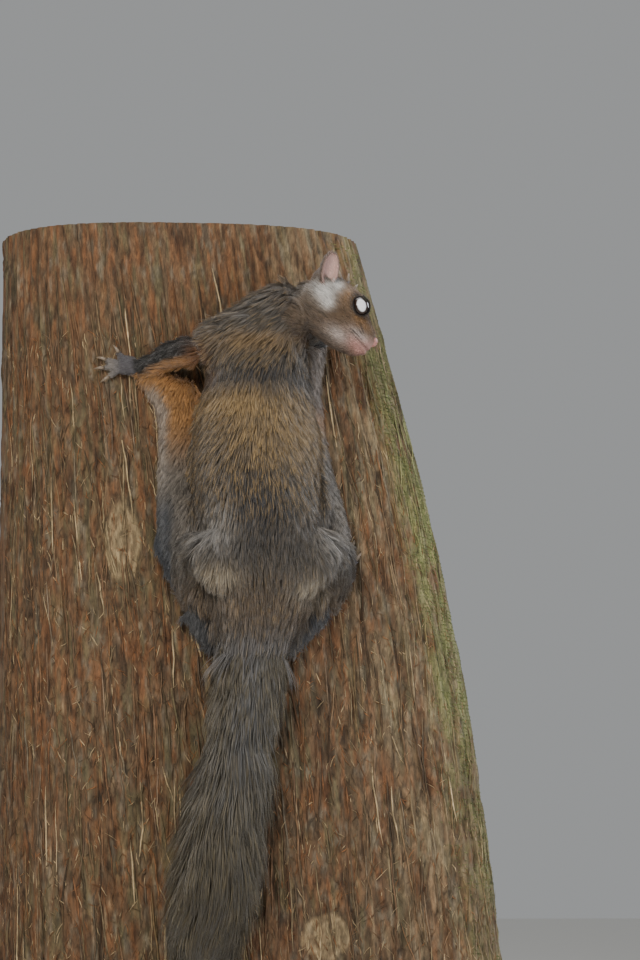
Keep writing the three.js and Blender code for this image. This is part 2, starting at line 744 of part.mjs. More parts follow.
for (const [name, arm] of Object.entries(arms)) {
  const leg = legs[name];
  const thighShape = { sides: 16, rows: 7 };
  const upperArmClear = limb(arm.upper, { grow: gap });
  const forearmClear = limb(arm.lower, { grow: gap });
  const thighClear = limb(leg.thigh, { ...thighShape, grow: gap });
  const shankClear = limb(leg.shank, { grow: gap });
  const handClear = handForm(arm, gap);
  const footClear = footRoom(leg);
  const membrane = membraneForm(membranes[name]);
  const membraneClear = membraneForm(membranes[name], gap);
  const cut = (solid, ...others) => (
    [trunkClear, bodyClear, ...others].reduce((left, next) => left.subtract(next), solid)
  );
  addPart(`upper_arm_${name}`, cut(limb(arm.upper)), 'coat');
  addPart(`forearm_${name}`, cut(limb(arm.lower), upperArmClear), 'darkCoat');
  addPart(`hand_${name}`, cut(handForm(arm), forearmClear, upperArmClear), 'hand');
  addPart(`thigh_${name}`, cut(limb(leg.thigh, thighShape)), 'coat');
  addPart(`shank_${name}`, cut(limb(leg.shank), thighClear), 'coat');
  addPart(`foot_${name}`, cut(footForm(leg), shankClear, thighClear), 'hand');
  const armClear = [upperArmClear, forearmClear, handClear];
  const legClear = [thighClear, shankClear, footClear];
  addPart(`patagium_${name}`, cut(membrane, ...armClear, ...legClear), 'membrane');
  const tailWeb = cut(membraneForm(tailWebs[name]), ...legClear, membraneClear);
  addPart(`uropatagium_${name}`, tailWeb, 'membrane');
}
addPart('tail', tailForm().subtract(trunkClear), 'coat');

// Perch and stand
addPart('perch_trunk', trunkForm(), 'bark');
const baseShift = new THREE.Matrix4().makeTranslation(0, 0, baseThickness / 2);
const board = new THREE.BoxGeometry(baseWidth, baseDepth, baseThickness);
addPart('stand_base', fromGeometry(board, baseShift), 'base');
const rodLength = perchBottom - baseThickness - 2 * gap;
const rod = new THREE.CylinderGeometry(rodRadius, rodRadius, rodLength, 16);
for (const [name, x] of [['left', rodLeftX], ['right', rodRightX]]) {
  const matrix = new THREE.Matrix4().makeTranslation(x, rodY, baseThickness + gap + rodLength / 2);
  matrix.multiply(new THREE.Matrix4().makeRotationX(Math.PI / 2));
  addPart(`stand_rod_${name}`, fromGeometry(rod, matrix), 'rod');
}

export default group;
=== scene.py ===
import math
import bmesh
import bpy
import numpy as np
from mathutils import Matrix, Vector
from mathutils.bvhtree import BVHTree
from mathutils.kdtree import KDTree


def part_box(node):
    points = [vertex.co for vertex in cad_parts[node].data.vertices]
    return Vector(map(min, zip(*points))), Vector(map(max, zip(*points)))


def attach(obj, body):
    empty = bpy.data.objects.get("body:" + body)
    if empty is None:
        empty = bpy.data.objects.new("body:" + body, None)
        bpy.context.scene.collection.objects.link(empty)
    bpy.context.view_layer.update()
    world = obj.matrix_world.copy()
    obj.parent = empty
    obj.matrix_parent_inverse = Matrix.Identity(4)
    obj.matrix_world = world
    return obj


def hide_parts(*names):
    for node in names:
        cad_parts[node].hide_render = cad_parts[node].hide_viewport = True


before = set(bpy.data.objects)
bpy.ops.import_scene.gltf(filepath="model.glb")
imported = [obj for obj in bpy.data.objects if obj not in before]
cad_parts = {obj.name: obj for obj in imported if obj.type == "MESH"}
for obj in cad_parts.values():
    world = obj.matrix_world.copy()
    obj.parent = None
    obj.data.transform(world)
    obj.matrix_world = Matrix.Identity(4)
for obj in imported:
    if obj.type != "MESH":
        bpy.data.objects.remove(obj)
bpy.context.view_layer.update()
print("frame loaded")

mm = 0.001
sides = ("left", "right")

# Camera: straight at the animal's back, a little from the left and from below
cameraView = {
    "target": (49.5, -115, 558), "azimuth": -5.5, "elevation": -6.0, "distance": 3200, "height": 864,
}

# Soft studio light: a big front key, a wide fill, a top light and a rim from the right
lights = {
    "key": {"place": (-700, -1900, 1500), "size": 900, "power": 34, "colour": "#fff6ea"},
    "fill": {"place": (1500, -1500, 700), "size": 1600, "power": 12, "colour": "#eef3ff"},
    "top": {"place": (100, 200, 2100), "size": 1200, "power": 16, "colour": "#ffffff"},
    "rim": {"place": (1500, 900, 1200), "size": 800, "power": 16, "colour": "#f3f6ff"},
}
studio = {
    "world": "#c9cbcc", "worldStrength": 0.55, "floor": "#f0eee9", "floorHalf": 9000, "paperTooth": 1.111,
}


def linearColour(hexColour):
    values = [int(hexColour[i:i + 2], 16) / 255 for i in (1, 3, 5)]
    return [v / 12.92 if v <= 0.04045 else ((v + 0.055) / 1.055) ** 2.4 for v in values]


def rgba(hexColour):
    return (*linearColour(hexColour), 1.0)


def addNode(tree, kind, settings=None, links=None):
    # settings holds node properties and socket values, links holds socket: (node, output)
    node = tree.nodes.new("ShaderNode" + kind)
    for name, value in (settings or {}).items():
        if isinstance(name, str) and hasattr(node, name) and name not in node.inputs:
            setattr(node, name, value)
        else:
            node.inputs[name].default_value = value
    for socket, (source, output) in (links or {}).items():
        tree.links.new(source.outputs[output], node.inputs[socket])
    return node


def patternScale(size):
    # how often a pattern of this size in millimetres, or of these three sizes, comes in a metre
    return [patternScale(one) for one in size] if isinstance(size, tuple) else round(1000 / size)


def newMaterial(name):
    material = bpy.data.materials.new(name)
    material.use_nodes = True
    material.node_tree.nodes.clear()
    return material, material.node_tree


def rampColours(node, stops):
    ramp = node.color_ramp
    while len(ramp.elements) < len(stops):
        ramp.elements.new(0.5)
    for element, (position, colour) in zip(ramp.elements, stops):
        element.position = position
        element.color = colour


def finishMaterial(tree, shader):
    addNode(tree, "OutputMaterial", links={"Surface": (shader, 0)})


# Noise from whole-number hashes, the same on every run
def latticeNoise(points, seed):
    cell = np.floor(points).astype(np.int64)
    share = points - cell
    share = share * share * (3 - 2 * share)
    total = np.zeros(len(points))
    for corner in range(8):
        step = np.array([corner & 1, (corner >> 1) & 1, (corner >> 2) & 1])
        place = cell + step
        mixed = place[:, 0] * 73856093 ^ place[:, 1] * 19349663 ^ place[:, 2] * 83492791 ^ seed * 2654435761
        mixed = (mixed ^ (mixed >> 13)) * 1274126177 & 0xFFFFFFFF
        value = ((mixed ^ (mixed >> 16)) & 0xFFFFFF) / 0xFFFFFF
        weight = np.prod(np.where(step == 1, share, 1 - share), axis=1)
        total += weight * value
    return total * 2 - 1


def layeredNoise(points, seed, layers=3):
    total = np.zeros(len(points))
    strength = 1.0
    for layer in range(layers):
        total += strength * latticeNoise(points * 2 ** layer, seed + layer * 17)
        strength *= 0.5
    return total / (2 - 0.5 ** (layers - 1))


def smoothStep(value, low, high):
    share = np.clip((value - low) / (high - low), 0, 1)
    return share * share * (3 - 2 * share)


def bump(points, centre, radii):
    offset = (points - np.array(centre)) / np.array(radii)
    return np.exp(-np.sum(offset * offset, axis=1))


def unit(vectors):
    # one vector, or one to a row, each made one long
    return vectors / np.maximum(np.linalg.norm(vectors, axis=-1, keepdims=True), 1e-9)


def ringQuads(rings, corners):
    # four-cornered faces between neighbouring rings of points
    return [(row * corners + step, row * corners + (step + 1) % corners,
             (row + 1) * corners + (step + 1) % corners, (row + 1) * corners + step)
            for row in range(rings - 1) for step in range(corners)]


def repeatedFaces(local, count, size):
    # one body's faces, repeated for count bodies of size points each
    local = np.array(local)
    return (local[None] + (np.arange(count) * size)[:, None, None]).reshape(-1, local.shape[1])


def combined(bodies):
    # one list of points and faces out of several
    points, faces = [], []
    offset = 0
    for places, more in bodies:
        points.append(places)
        faces += [tuple(v + offset for v in face) for face in more]
        offset += len(places)
    return np.concatenate(points), faces


def linked(name, data):
    thing = bpy.data.objects.new(name, data)
    bpy.context.scene.collection.objects.link(thing)
    return thing


def addColours(mesh, colours):
    layer = mesh.color_attributes.new("coatColour", "FLOAT_COLOR", "POINT")
    full = np.ones((len(colours), 4), dtype=np.float32)
    full[:, :3] = colours
    layer.data.foreach_set("color", full.ravel())


def shadeSmooth(mesh, smooth=True):
    mesh.polygons.foreach_set("use_smooth", np.full(len(mesh.polygons), smooth))


def setMaterial(piece, material):
    piece.data.materials.clear()
    piece.data.materials.append(material)


def meshPiece(name, points, faces, material, smooth=True, colours=None):
    # points in metres; faces as an array of equal corner counts, or a list
    mesh = bpy.data.meshes.new(name)
    if isinstance(faces, np.ndarray):
        count, corners = faces.shape
        mesh.vertices.add(len(points))
        mesh.vertices.foreach_set("co", np.ascontiguousarray(points, dtype=np.float32).ravel())
        mesh.loops.add(count * corners)
        mesh.loops.foreach_set("vertex_index", np.ascontiguousarray(faces, dtype=np.int32).ravel())
        mesh.polygons.add(count)
        mesh.polygons.foreach_set("loop_start", np.arange(0, count * corners, corners, dtype=np.int32))
        mesh.update(calc_edges=True)
    else:
        mesh.from_pydata([tuple(p) for p in points], [], faces)
    shadeSmooth(mesh, smooth)
    if colours is not None:
        addColours(mesh, colours)
    mesh.materials.append(material)
    mesh.update()
    return linked(name, mesh)


def gathered(items, key, width, kind=np.float32):
    values = np.empty(len(items) * width, dtype=kind)
    items.foreach_get(key, values)
    return values.reshape(-1, width)


def meshArrays(mesh):
    return [gathered(mesh.vertices, key, 3).astype(float) for key in ("co", "normal")]


def nodeBody(node, puff=0):
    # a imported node's points, pushed out by puff millimetres, and its faces
    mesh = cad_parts[node].data
    points, normals = meshArrays(mesh)
    return points + normals * puff * mm, [tuple(face.vertices) for face in mesh.polygons]


def joinedCopies(name, nodeNames, puff, extra=()):
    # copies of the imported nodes, pushed out a little so that they overlap and remesh as one
    points, faces = combined([nodeBody(node, puff) for node in nodeNames] + list(extra))
    mesh = bpy.data.meshes.new(name)
    mesh.from_pydata([tuple(p) for p in points], [], faces)
    return linked(name, mesh)


def applied(piece, kind, **settings):
    modifier = piece.modifiers.new(kind.lower(), kind)
    for key, value in settings.items():
        setattr(modifier, key, value)
    depsgraph = bpy.context.evaluated_depsgraph_get()
    mesh = bpy.data.meshes.new_from_object(piece.evaluated_get(depsgraph))
    piece.modifiers.clear()
    old = piece.data
    piece.data = mesh
    bpy.data.meshes.remove(old)
    return piece


# Camera, floor and lights
def makeCamera():
    target = Vector(cameraView["target"]) * mm
    azimuth = math.radians(cameraView["azimuth"])
    elevation = math.radians(cameraView["elevation"])
    look = Vector((-math.sin(azimuth) * math.cos(elevation), math.cos(azimuth) * math.cos(elevation),
                   -math.sin(elevation)))
    data = bpy.data.cameras.new("camera")
    camera = linked("camera", data)
    camera.location = target - look * cameraView["distance"] * mm
    camera.rotation_euler = look.to_track_quat("-Z", "Y").to_euler()
    data.sensor_fit = "VERTICAL"
    data.angle = 2 * math.atan(cameraView["height"] / 2 / cameraView["distance"])
    data.clip_end = 50
    bpy.context.scene.camera = camera
    return target


def makeLight(name, target, values):
    data = bpy.data.lights.new(name, "AREA")
    data.shape = "DISK"
    data.size = values["size"] * mm
    data.energy = values["power"]
    data.color = linearColour(values["colour"])
    light = linked(name, data)
    light.location = Vector(values["place"]) * mm
    light.rotation_euler = (target - light.location).to_track_quat("-Z", "Y").to_euler()


def makeStudio():
    target = makeCamera()
    for name, values in lights.items():
        makeLight(name, target, values)
    world = bpy.data.worlds.new("studio")
    bpy.context.scene.world = world
    world.use_nodes = True
    background = world.node_tree.nodes["Background"]
    background.inputs[0].default_value = rgba(studio["world"])
    background.inputs[1].default_value = studio["worldStrength"]
    # Matt studio floor paper: even, with a faint tooth
    material, tree = newMaterial("floorPaperMatt")
    place = addNode(tree, "TexCoord")
    grain = addNode(tree, "TexNoise", {"Scale": patternScale(studio["paperTooth"])},
                    {"Vector": (place, "Object")})
    raised = addNode(tree, "Bump", {"Strength": 0.05, "Distance": 0.0002}, {"Height": (grain, 0)})
    shader = addNode(tree, "BsdfPrincipled", {"Base Color": rgba(studio["floor"]), "Roughness": 0.9},
                     {"Normal": (raised, 0)})
    finishMaterial(tree, shader)
    half = studio["floorHalf"] * mm
    corners = [(-half, -half, 0), (half, -half, 0), (half, half, 0), (-half, half, 0)]
    floor = meshPiece("floor", corners, [(0, 1, 2, 3)], material, smooth=False)


makeStudio()
print("studio made")

# Where things are, in millimetres
head = {"noseTip": (99, -115, 682), "drop": 35, "roll": 7}
drop, roll = math.radians(head["drop"]), math.radians(head["roll"])
headBack = np.array([-math.cos(drop), 0, math.sin(drop)])
levelUp = np.array([math.sin(drop), 0, math.cos(drop)])
outward = np.array([0.0, -1.0, 0.0])
headUp = levelUp * math.cos(roll) - outward * math.sin(roll)
headOut = outward * math.cos(roll) + levelUp * math.sin(roll)
noseTip = np.array(head["noseTip"], dtype=float)


def headPoint(back, up, out):
    return noseTip + headBack * back + headUp * up + headOut * out


def headPlaces(points):
    # back, up and out of the head's own frame, for points in millimetres
    offset = points - noseTip
    return offset @ headBack, offset @ headUp, offset @ headOut


# Tail: the outline of its hair at levels down its length, and the slimmer body under it
tail = {
    "levels": [404, 385, 360, 315, 270, 225, 180, 140, 110, 92],
    "middle": [-9, -12, -16, -23, -32, -40, -46, -50, -53, -55],
    "halfWidth": [30, 33, 36, 41, 46, 49, 47, 41, 28, 9],
    "top": [43, 50, 56, 60, 62, 62, 58, 50, 40, 30],
    "bottom": [-2, 0, 0, 0, 0, 1, 3, 6, 10, 18],
    "axisRise": 29,
    "skinShare": 0.42, "skinTop": 412, "skinEnd": 128, "rings": 40, "sides": 24,
    "slimming": ([128, 150, 360, 404], [0.35, 0.8, 1.0, 1.0]), "join": (340, 404), "joinShare": 0.86,
}
limbs = ("upper_arm", "forearm", "hand", "thigh", "shank", "foot", "patagium", "uropatagium")
fleshNodes = ["torso", "neck", "head"] + [part + "_" + side for part in ("ear", *limbs) for side in sides]


def surfaceTree(points, faces):
    return BVHTree.FromPolygons([tuple(p) for p in points / mm], faces)


perchTree = surfaceTree(*nodeBody("perch_trunk"))


def barkFront(x, z):
    hit = perchTree.ray_cast(Vector((x, -400, z)), Vector((0, 1, 0)))
    return hit[0].y if hit[0] is not None else 0.0


def tailValues(z):
    levels = tail["levels"][::-1]
    return [np.interp(z, levels, tail[key][::-1]) for key in ("middle", "halfWidth", "top", "bottom")]


tailBarkLevels = np.arange(80, 440, 10)
tailBark = np.array([min(barkFront(tailValues(z)[0] + shift, z) for shift in (-25, 0, 25))
                     for z in tailBarkLevels])


def insideTail(points, share):
    # draws points in to the outline of the tail's hair, so that the brush closes toward its tip
    points = points.copy()
    points[:, 2] = np.maximum(points[:, 2], tail["levels"][-1] + 1)
    middle, halfWidth, top, bottom = tailValues(points[:, 2])
    surface = np.interp(points[:, 2], tailBarkLevels, tailBark)
    across = points[:, 0] - middle
    height = surface - points[:, 1] - tail["axisRise"]
    reach = np.where(height > 0, top - tail["axisRise"], tail["axisRise"] - bottom)
    far = np.sqrt((across / halfWidth) ** 2 + (height / reach) ** 2)
    factor = np.minimum(1, share / np.maximum(far, 1e-6))
    points[:, 0] = middle + across * factor
    points[:, 1] = surface - tail["axisRise"] - height * factor
    return points


def tailBody(share):
    # the tail's own body as rings down its length
    rings = []
    levels = np.linspace(tail["skinTop"], tail["skinEnd"], tail["rings"])
    count = tail["sides"]
    for z in levels:
        middle, halfWidth, top, bottom = tailValues(z)
        surface = np.interp(z, tailBarkLevels, tailBark)
        full = np.interp(z, tail["join"], [share, tail["joinShare"]]) * np.interp(z, *tail["slimming"])
        for step in range(count):
            turn = 2 * math.pi * step / count
            height = math.sin(turn)
            reach = (top - tail["axisRise"]) if height > 0 else (tail["axisRise"] - bottom)
            rise = tail["axisRise"] + height * reach * full
            rings.append((middle + math.cos(turn) * halfWidth * full, surface - rise, z))
    faces = [(a, d, c, b) for a, b, c, d in ringQuads(len(levels), count)]
    faces.append(tuple(range(count)))
    faces.append(tuple(range(len(rings) - count, len(rings)))[::-1])
    return np.array(rings) * mm, faces


# The body's parts: how deep the coat is, the tufts' length, how far they stand off, how thick they are
# and how many there are to a square centimetre, and which way they lie
parts = {
    "torso": {"depth": 7.5, "length": 20, "lift": 0.34, "width": 0.95, "count": 74, "lie": (0, 0, -1)},
    "neck": {"depth": 6.5, "length": 16, "lift": 0.34, "width": 0.9, "count": 80, "lie": (-0.8, 0, -0.5)},
    "head": {"depth": 2.6, "length": 7.5, "lift": 0.28, "width": 0.55, "count": 170, "lie": (-0.819, 0, 0.574)},
    "ear": {"depth": 0.3, "length": 3.5, "lift": 0.25, "width": 0.4, "count": 120, "lie": (-0.2, 0, 0.95)},
    "upper_arm": {"depth": 5.5, "length": 14, "lift": 0.33, "width": 0.9, "count": 80, "lie": (-0.9, 0, -0.35)},
    "forearm": {"depth": 3.6, "length": 11, "lift": 0.3, "width": 0.8, "count": 95, "lie": (-0.96, 0, -0.25)},
    "hand": {"depth": 0.5, "length": 3.6, "lift": 0.22, "width": 0.42, "count": 120, "lie": (-1, 0, 0.05)},
    "thigh": {"depth": 7.5, "length": 20, "lift": 0.36, "width": 0.95, "count": 74, "lie": (-0.35, 0, -0.9)},
    "shank": {"depth": 4.5, "length": 14, "lift": 0.33, "width": 0.9, "count": 80, "lie": (-0.15, 0, -1)},
    "foot": {"depth": 0.6, "length": 4, "lift": 0.22, "width": 0.45, "count": 110, "lie": (-0.3, 0, 0.95)},
    "patagium": {"depth": 3.4, "length": 10, "lift": 0.26, "width": 0.8, "count": 95, "lie": (-0.35, 0, -0.93)},
    "uropatagium": {"depth": 3.4, "length": 12, "lift": 0.3, "width": 0.85, "count": 85,
                    "lie": (-0.3, 0, -0.95)},
    "tail": {"depth": 0, "length": 60, "lift": 0.34, "width": 1.25, "count": 62, "lie": (-0.14, 0, -0.99)},
}
partNames = list(parts)


def onPart(partIndex, *names):
    return np.isin(partIndex, [partNames.index(name) for name in names])


def makeGuide():
    # every flesh node's surface with the part and side it belongs to
    bodies, owners = [], []
    for node in fleshNodes:
        part = node.rsplit("_", 1)[0] if node.endswith(("_left", "_right")) else node
        bodies.append(nodeBody(node))
        owners += [(partNames.index(part), -1 if node.endswith("_left") else 1)] * len(bodies[-1][1])
    bodies.append(tailBody(tail["skinShare"]))
    owners += [(partNames.index("tail"), 1)] * len(bodies[-1][1])
    return surfaceTree(*combined(bodies)), np.array(owners)


guideTree, guideOwners = makeGuide()


def partsOf(points):
    # the index of the nearest part and its side, for points in millimetres
    found = [guideTree.find_nearest(Vector(p))[2] for p in points]
    owners = guideOwners[np.array(found)]
    return owners[:, 0], owners[:, 1]


def edgePairs(mesh):
    return gathered(mesh.edges, "vertices", 2, np.int32)


def spread(values, pairs, rounds):
    # averages values with their neighbours, so that one part's coat runs into the next
    counts = np.zeros(len(values))
    np.add.at(counts, pairs[:, 0], 1)
    np.add.at(counts, pairs[:, 1], 1)
    counts = np.maximum(counts, 1)[:, None]
    for _ in range(rounds):
        total = np.zeros_like(values)
        for column in range(values.shape[1]):
            total[:, column] = (np.bincount(pairs[:, 0], values[pairs[:, 1], column], len(values))
                                + np.bincount(pairs[:, 1], values[pairs[:, 0], column], len(values)))
        values = 0.4 * values + 0.6 * total / counts
    return values


def lieOf(points, partIndex, side):
    # the way the coat lies, mirrored for the right limbs
    lies = np.array([parts[name]["lie"] for name in partNames], dtype=float)[partIndex]
    lies[onPart(partIndex, *limbs) & (side > 0), 0] *= -1
    lies[onPart(partIndex, "upper_arm", "forearm", "hand") & (side > 0), 2] = 0.75
    # hair runs off the shoulder hump to the left, and fans out over the back below the saddle
    torso = onPart(partIndex, "torso")
    hump = smoothStep(points[:, 2], 660, 682) * torso
    lies[:, 0] -= 1.1 * hump
    fan = np.exp(-((points[:, 2] - 605) / 45) ** 2) * torso
    lies[:, 0] += 0.55 * fan * np.clip((points[:, 0] + 5) / 45, -1, 1)
    return unit(lies)


# Coat colours in sRGB hex
coatHues = {
    "back": "#565048", "paleTipsAndHighlight": "#bb9c68", "saddleShadowAndDarkFur": "#31353c", "rump": "#c6baa3", "knee": "#b0aeab",
    "hip": "#6f5c46", "neck": "#544c44", "neckPaintedHighlight": "#a88a60", "forearm": "#1f1d1c", "elbow": "#8a5c36",
    "hand": "#626065", "fingers": "#9f9891", "ochrePanel": "#a97d4b", "paleEdge": "#9f958a",
    "membraneLow": "#7c756c", "darkEdge": "#4a4e54", "flank": "#7b7773", "tail": "#544b35",
    "tailTip": "#8a7a53", "tailGrey": "#626365", "crown": "#695a4a", "cheek": "#e9e8e5", "face": "#6c5741",
    "ochre": "#98703f", "muzzle": "#c3b8b2", "chin": "#cf9f96", "mouthCreaseShade": "#4a302b", "lid": "#15110f",
    "earInside": "#dab6ad", "earBack": "#5d4d42",
}
hues = {name: np.array(linearColour(value)) for name, value in coatHues.items()}

# Eyes in the head's own frame, the ears' hollows, and the face's patches as hue, strength, centre and reach
eye = {
    "back": 31, "up": 15.5, "out": 14.6, "radius": 9.4, "pupilAcross": 4.2, "pupilUp": 6.0, "lidRadius": 8.8,
    "pupilEdge": (0.86, 1.08), "irisEdge": (1.15, 1.7),
    "dark": "#0d0a09", "iris": "#2a1a10", "shine": "#f4f7fb",
}
earHollow = {"back": 71.5, "up": 24, "out": 25, "halfWidth": 9, "halfLength": 17.5, "reach": 22}
facePatches = (
    ("ochre", 0.9, (20, 5, 14), (11, 7, 10)), ("ochre", 0.7, (44, 16, 20), (6, 9, 10)),
    ("muzzle", 1.0, (14, -6, 12), (12, 5.5, 12)), ("muzzle", 0.95, (30, -17, 16), (12, 6, 13)),
    ("chin", 1.0, (10, -13, 6), (13, 6, 14)), ("chin", 0.9, (3, -6, 0), (5, 6, 12)),
    ("cheek", 1.15, (61, 6, 24), (8, 8.5, 14)), ("cheek", 1.1, (55, 18, 23), (5.5, 7.5, 10)),
    ("cheek", 1.0, (53, -1, 23), (5.5, 6, 10)),
)
eyeAxis = unit(np.array([-0.22, 0.16, 1.0]))


def headSide(points):
    # head places as one array, both sides of the head alike
    back, up, out = headPlaces(points)
    return np.stack([back, up, np.abs(out)], axis=1)


def eyeDistance(local):
    # how far off the eye's own axis, and how far along it
    offset = local - np.array([eye["back"], eye["up"], eye["out"]])
    along = offset @ eyeAxis
    return np.linalg.norm(offset - along[:, None] * eyeAxis, axis=1), along


def earAxes(sign):
    # an ear's middle, its long way and the way its hollow faces
    long = unit(headBack * 12 + headUp * 27 + headOut * sign * 5)
    opening = headOut * sign - headBack * 0.45
    opening = unit(opening - long * (opening @ long))
    return headPoint(earHollow["back"], earHollow["up"], sign * earHollow["out"]), long, opening


def insideEar(points, normals):
    # 1 on the hollow face of an ear
    total = np.zeros(len(points))
    for sign in (1, -1):
        centre, long, opening = earAxes(sign)
        offset = points - centre
        across, along = offset @ np.cross(long, opening), offset @ long
        rim = np.sqrt((across / earHollow["halfWidth"]) ** 2 + (along / earHollow["halfLength"]) ** 2)
        facing = smoothStep(normals @ opening, -0.1, 0.35) * (1 - smoothStep(rim, 0.78, 0.98))
        near = np.linalg.norm(offset, axis=1) < earHollow["reach"]
        total = np.maximum(total, facing * near)
    return total


def painted(colours, palette, layers):
    # lays hues one over another, each as strongly as its weight says
    for name, weight in layers:
        weight = np.clip(weight, 0, 1)[:, None]
        colours = colours * (1 - weight) + palette[name] * weight
    return colours


def mouthLine(back, up):
    # 1 on the line where the lips meet, 0 away from it
    level = skinValues["mouthUp"] + 1.4 * smoothStep(back, 8, 24)
    near = np.exp(-((up - level) / 0.9) ** 2)
    return near * (1 - smoothStep(back, skinValues["mouthBack"] - 3, skinValues["mouthBack"] + 1))


def bodyMarkings(points, partIndex, side):
    def isPart(*names):
        return onPart(partIndex, *names) * 1.0

    x, z = points[:, 0], points[:, 2]
    torso, membrane, onTail = isPart("torso", "neck"), isPart("patagium"), isPart("tail")
    leftForearm = isPart("forearm") * (side < 0)
    rightMembrane = membrane * (side > 0)
    underside = np.interp(x, [-110, -103, -85, -72], [657, 663, 671, 673]) - z
    outerEdge = np.interp(z, [455, 470, 504, 553, 590, 630, 662], [78, 84, 92, 91, 90, 90, 104])
    rim = smoothStep(np.abs(x), outerEdge - 11, outerEdge - 2) * membrane
    lowRim = membrane * smoothStep(np.abs(x), outerEdge - 20, outerEdge - 6) * smoothStep(-z, -560, -530)
    tailGrey = np.exp(-((x - tailValues(z)[0]) / 17) ** 2) * np.interp(z, [120, 260, 360], [0.05, 0.35, 0.85])
    layers = [
        ("neck", 0.8 * isPart("neck")),
        # painted highlight: a thin pale line across the top of the shoulders
        ("neckPaintedHighlight", 0.55 * torso * bump(points, (0, -140, 688), (46, 90, 7))),
        # painted shadow: a dark band across the back, in the hollow between the shoulder hump and the back
        ("saddleShadowAndDarkFur", 0.9 * np.exp(-((z - 658) / 13) ** 2) * torso),
        # painted highlight on the top of the rounded back, in the pale tips' hue
        ("paleTipsAndHighlight", 0.6 * torso * bump(points, (-34, -130, 634), (34, 90, 13))),
        ("paleTipsAndHighlight", 0.35 * torso * bump(points, (10, -130, 606), (52, 90, 34))),
        ("saddleShadowAndDarkFur", 0.75 * bump(points, (-6, -140, 540), (34, 60, 40))),
        ("hip", 0.6 * smoothStep(-z, -500, -450) * isPart("torso", "thigh", "shank")),
        ("rump", 0.6 * bump(points, (-42, -130, 480), (16, 60, 11))),
        ("rump", 0.6 * bump(points, (42, -125, 470), (16, 60, 11))),
        ("knee", 0.7 * bump(points, (-48, -120, 520), (20, 50, 20))),
        ("knee", 0.7 * bump(points, (60, -105, 516), (20, 50, 20))),
        ("forearm", isPart("forearm")),
        ("ochrePanel", leftForearm * smoothStep(underside, -1, 4)),
        ("elbow", 0.85 * bump(points, (-55, -112, 668), (11, 30, 15))),
        ("hand", isPart("hand", "foot")),
        ("fingers", 0.8 * smoothStep(-x, 126, 138) * isPart("hand") * (side < 0)),
        ("ochrePanel", membrane),
        ("membraneLow", membrane * smoothStep(-z, -625, -565)),
        ("paleEdge", 0.8 * rim * smoothStep(z, 540, 580) * (1 - smoothStep(z, 645, 655))),
        ("darkEdge", lowRim),
        ("darkEdge", 0.75 * isPart("uropatagium")),
        ("flank", 0.85 * rightMembrane * smoothStep(z, 612, 640)),
        ("membraneLow", 0.8 * rightMembrane * (1 - smoothStep(z, 600, 630))),
        ("tail", onTail),
        ("tailGrey", tailGrey * onTail),
        ("tailGrey", 0.8 * smoothStep(-z, -452, -415) * isPart("torso")),
    ]
    return painted(np.tile(hues["back"], (len(points), 1)), hues, layers)


def markings(points, normals, partIndex, side):
    # the coat's colour at places on the body, in millimetres; the skin and every tuft read it
    local = headSide(points)
    back, up = local[:, 0], local[:, 1]
    onHead, onEar = onPart(partIndex, "head", "ear") * 1.0, onPart(partIndex, "ear") * 1.0
    ring, along = eyeDistance(local)
    lid = (1 - smoothStep(ring, eye["lidRadius"] + 0.2, eye["lidRadius"] + 2.4)) * (along > 0)
    layers = [("crown", onHead), ("face", onHead * (1 - smoothStep(back, 44, 60)))]
    for name, strength, centre, radii in facePatches:
        layers.append((name, onHead * strength * bump(local, centre, radii)))
    layers += [
        # painted shade: the line where the lips meet is darkened as the shadow in that crease
        ("mouthCreaseShade", 0.85 * onHead * mouthLine(back, up)), ("lid", onHead * lid),
        ("earBack", onEar), ("earInside", onEar * insideEar(points, normals)),
    ]
    return painted(bodyMarkings(points, partIndex, side), hues, layers)


# Skin: one closed surface over the whole body, under the coat, with folds as centres and radii that
# close the gaps between flank, thigh and membrane
skinFolds = (
    ((-64, -84, 524), (13, 13, 26)), ((-53, -84, 456), (12, 12, 16)), ((50, -82, 459), (12, 12, 16)),
    ((52, -84, 540), (12, 12, 30)),
)
skinValues = {
    "voxel": 1.0, "keep": 0.45, "puff": 0.45, "shade": 0.7, "faceDepth": 0.9, "grain": 0.7143,
    "edgeRounds": 10, "fineRounds": 3, "bodyRounds": 12, "depthRounds": 20,
    "mouthBack": 24, "mouthUp": -9.5, "mouthDepth": 1.5,
}


def ball(subdivisions, radius):
    bm = bmesh.new()
    bmesh.ops.create_icosphere(bm, subdivisions=subdivisions, radius=radius)
    bm.verts.index_update()
    points = np.array([v.co[:] for v in bm.verts])
    faces = [tuple(v.index for v in face.verts) for face in bm.faces]
    bm.free()
    return points, faces


def foldBody(centre, radii):
    points, faces = ball(3, 1)
    return (points * radii + centre) * mm, faces


def movePoints(mesh, points):
    mesh.vertices.foreach_set("co", points.astype(np.float32).ravel())
    mesh.update()


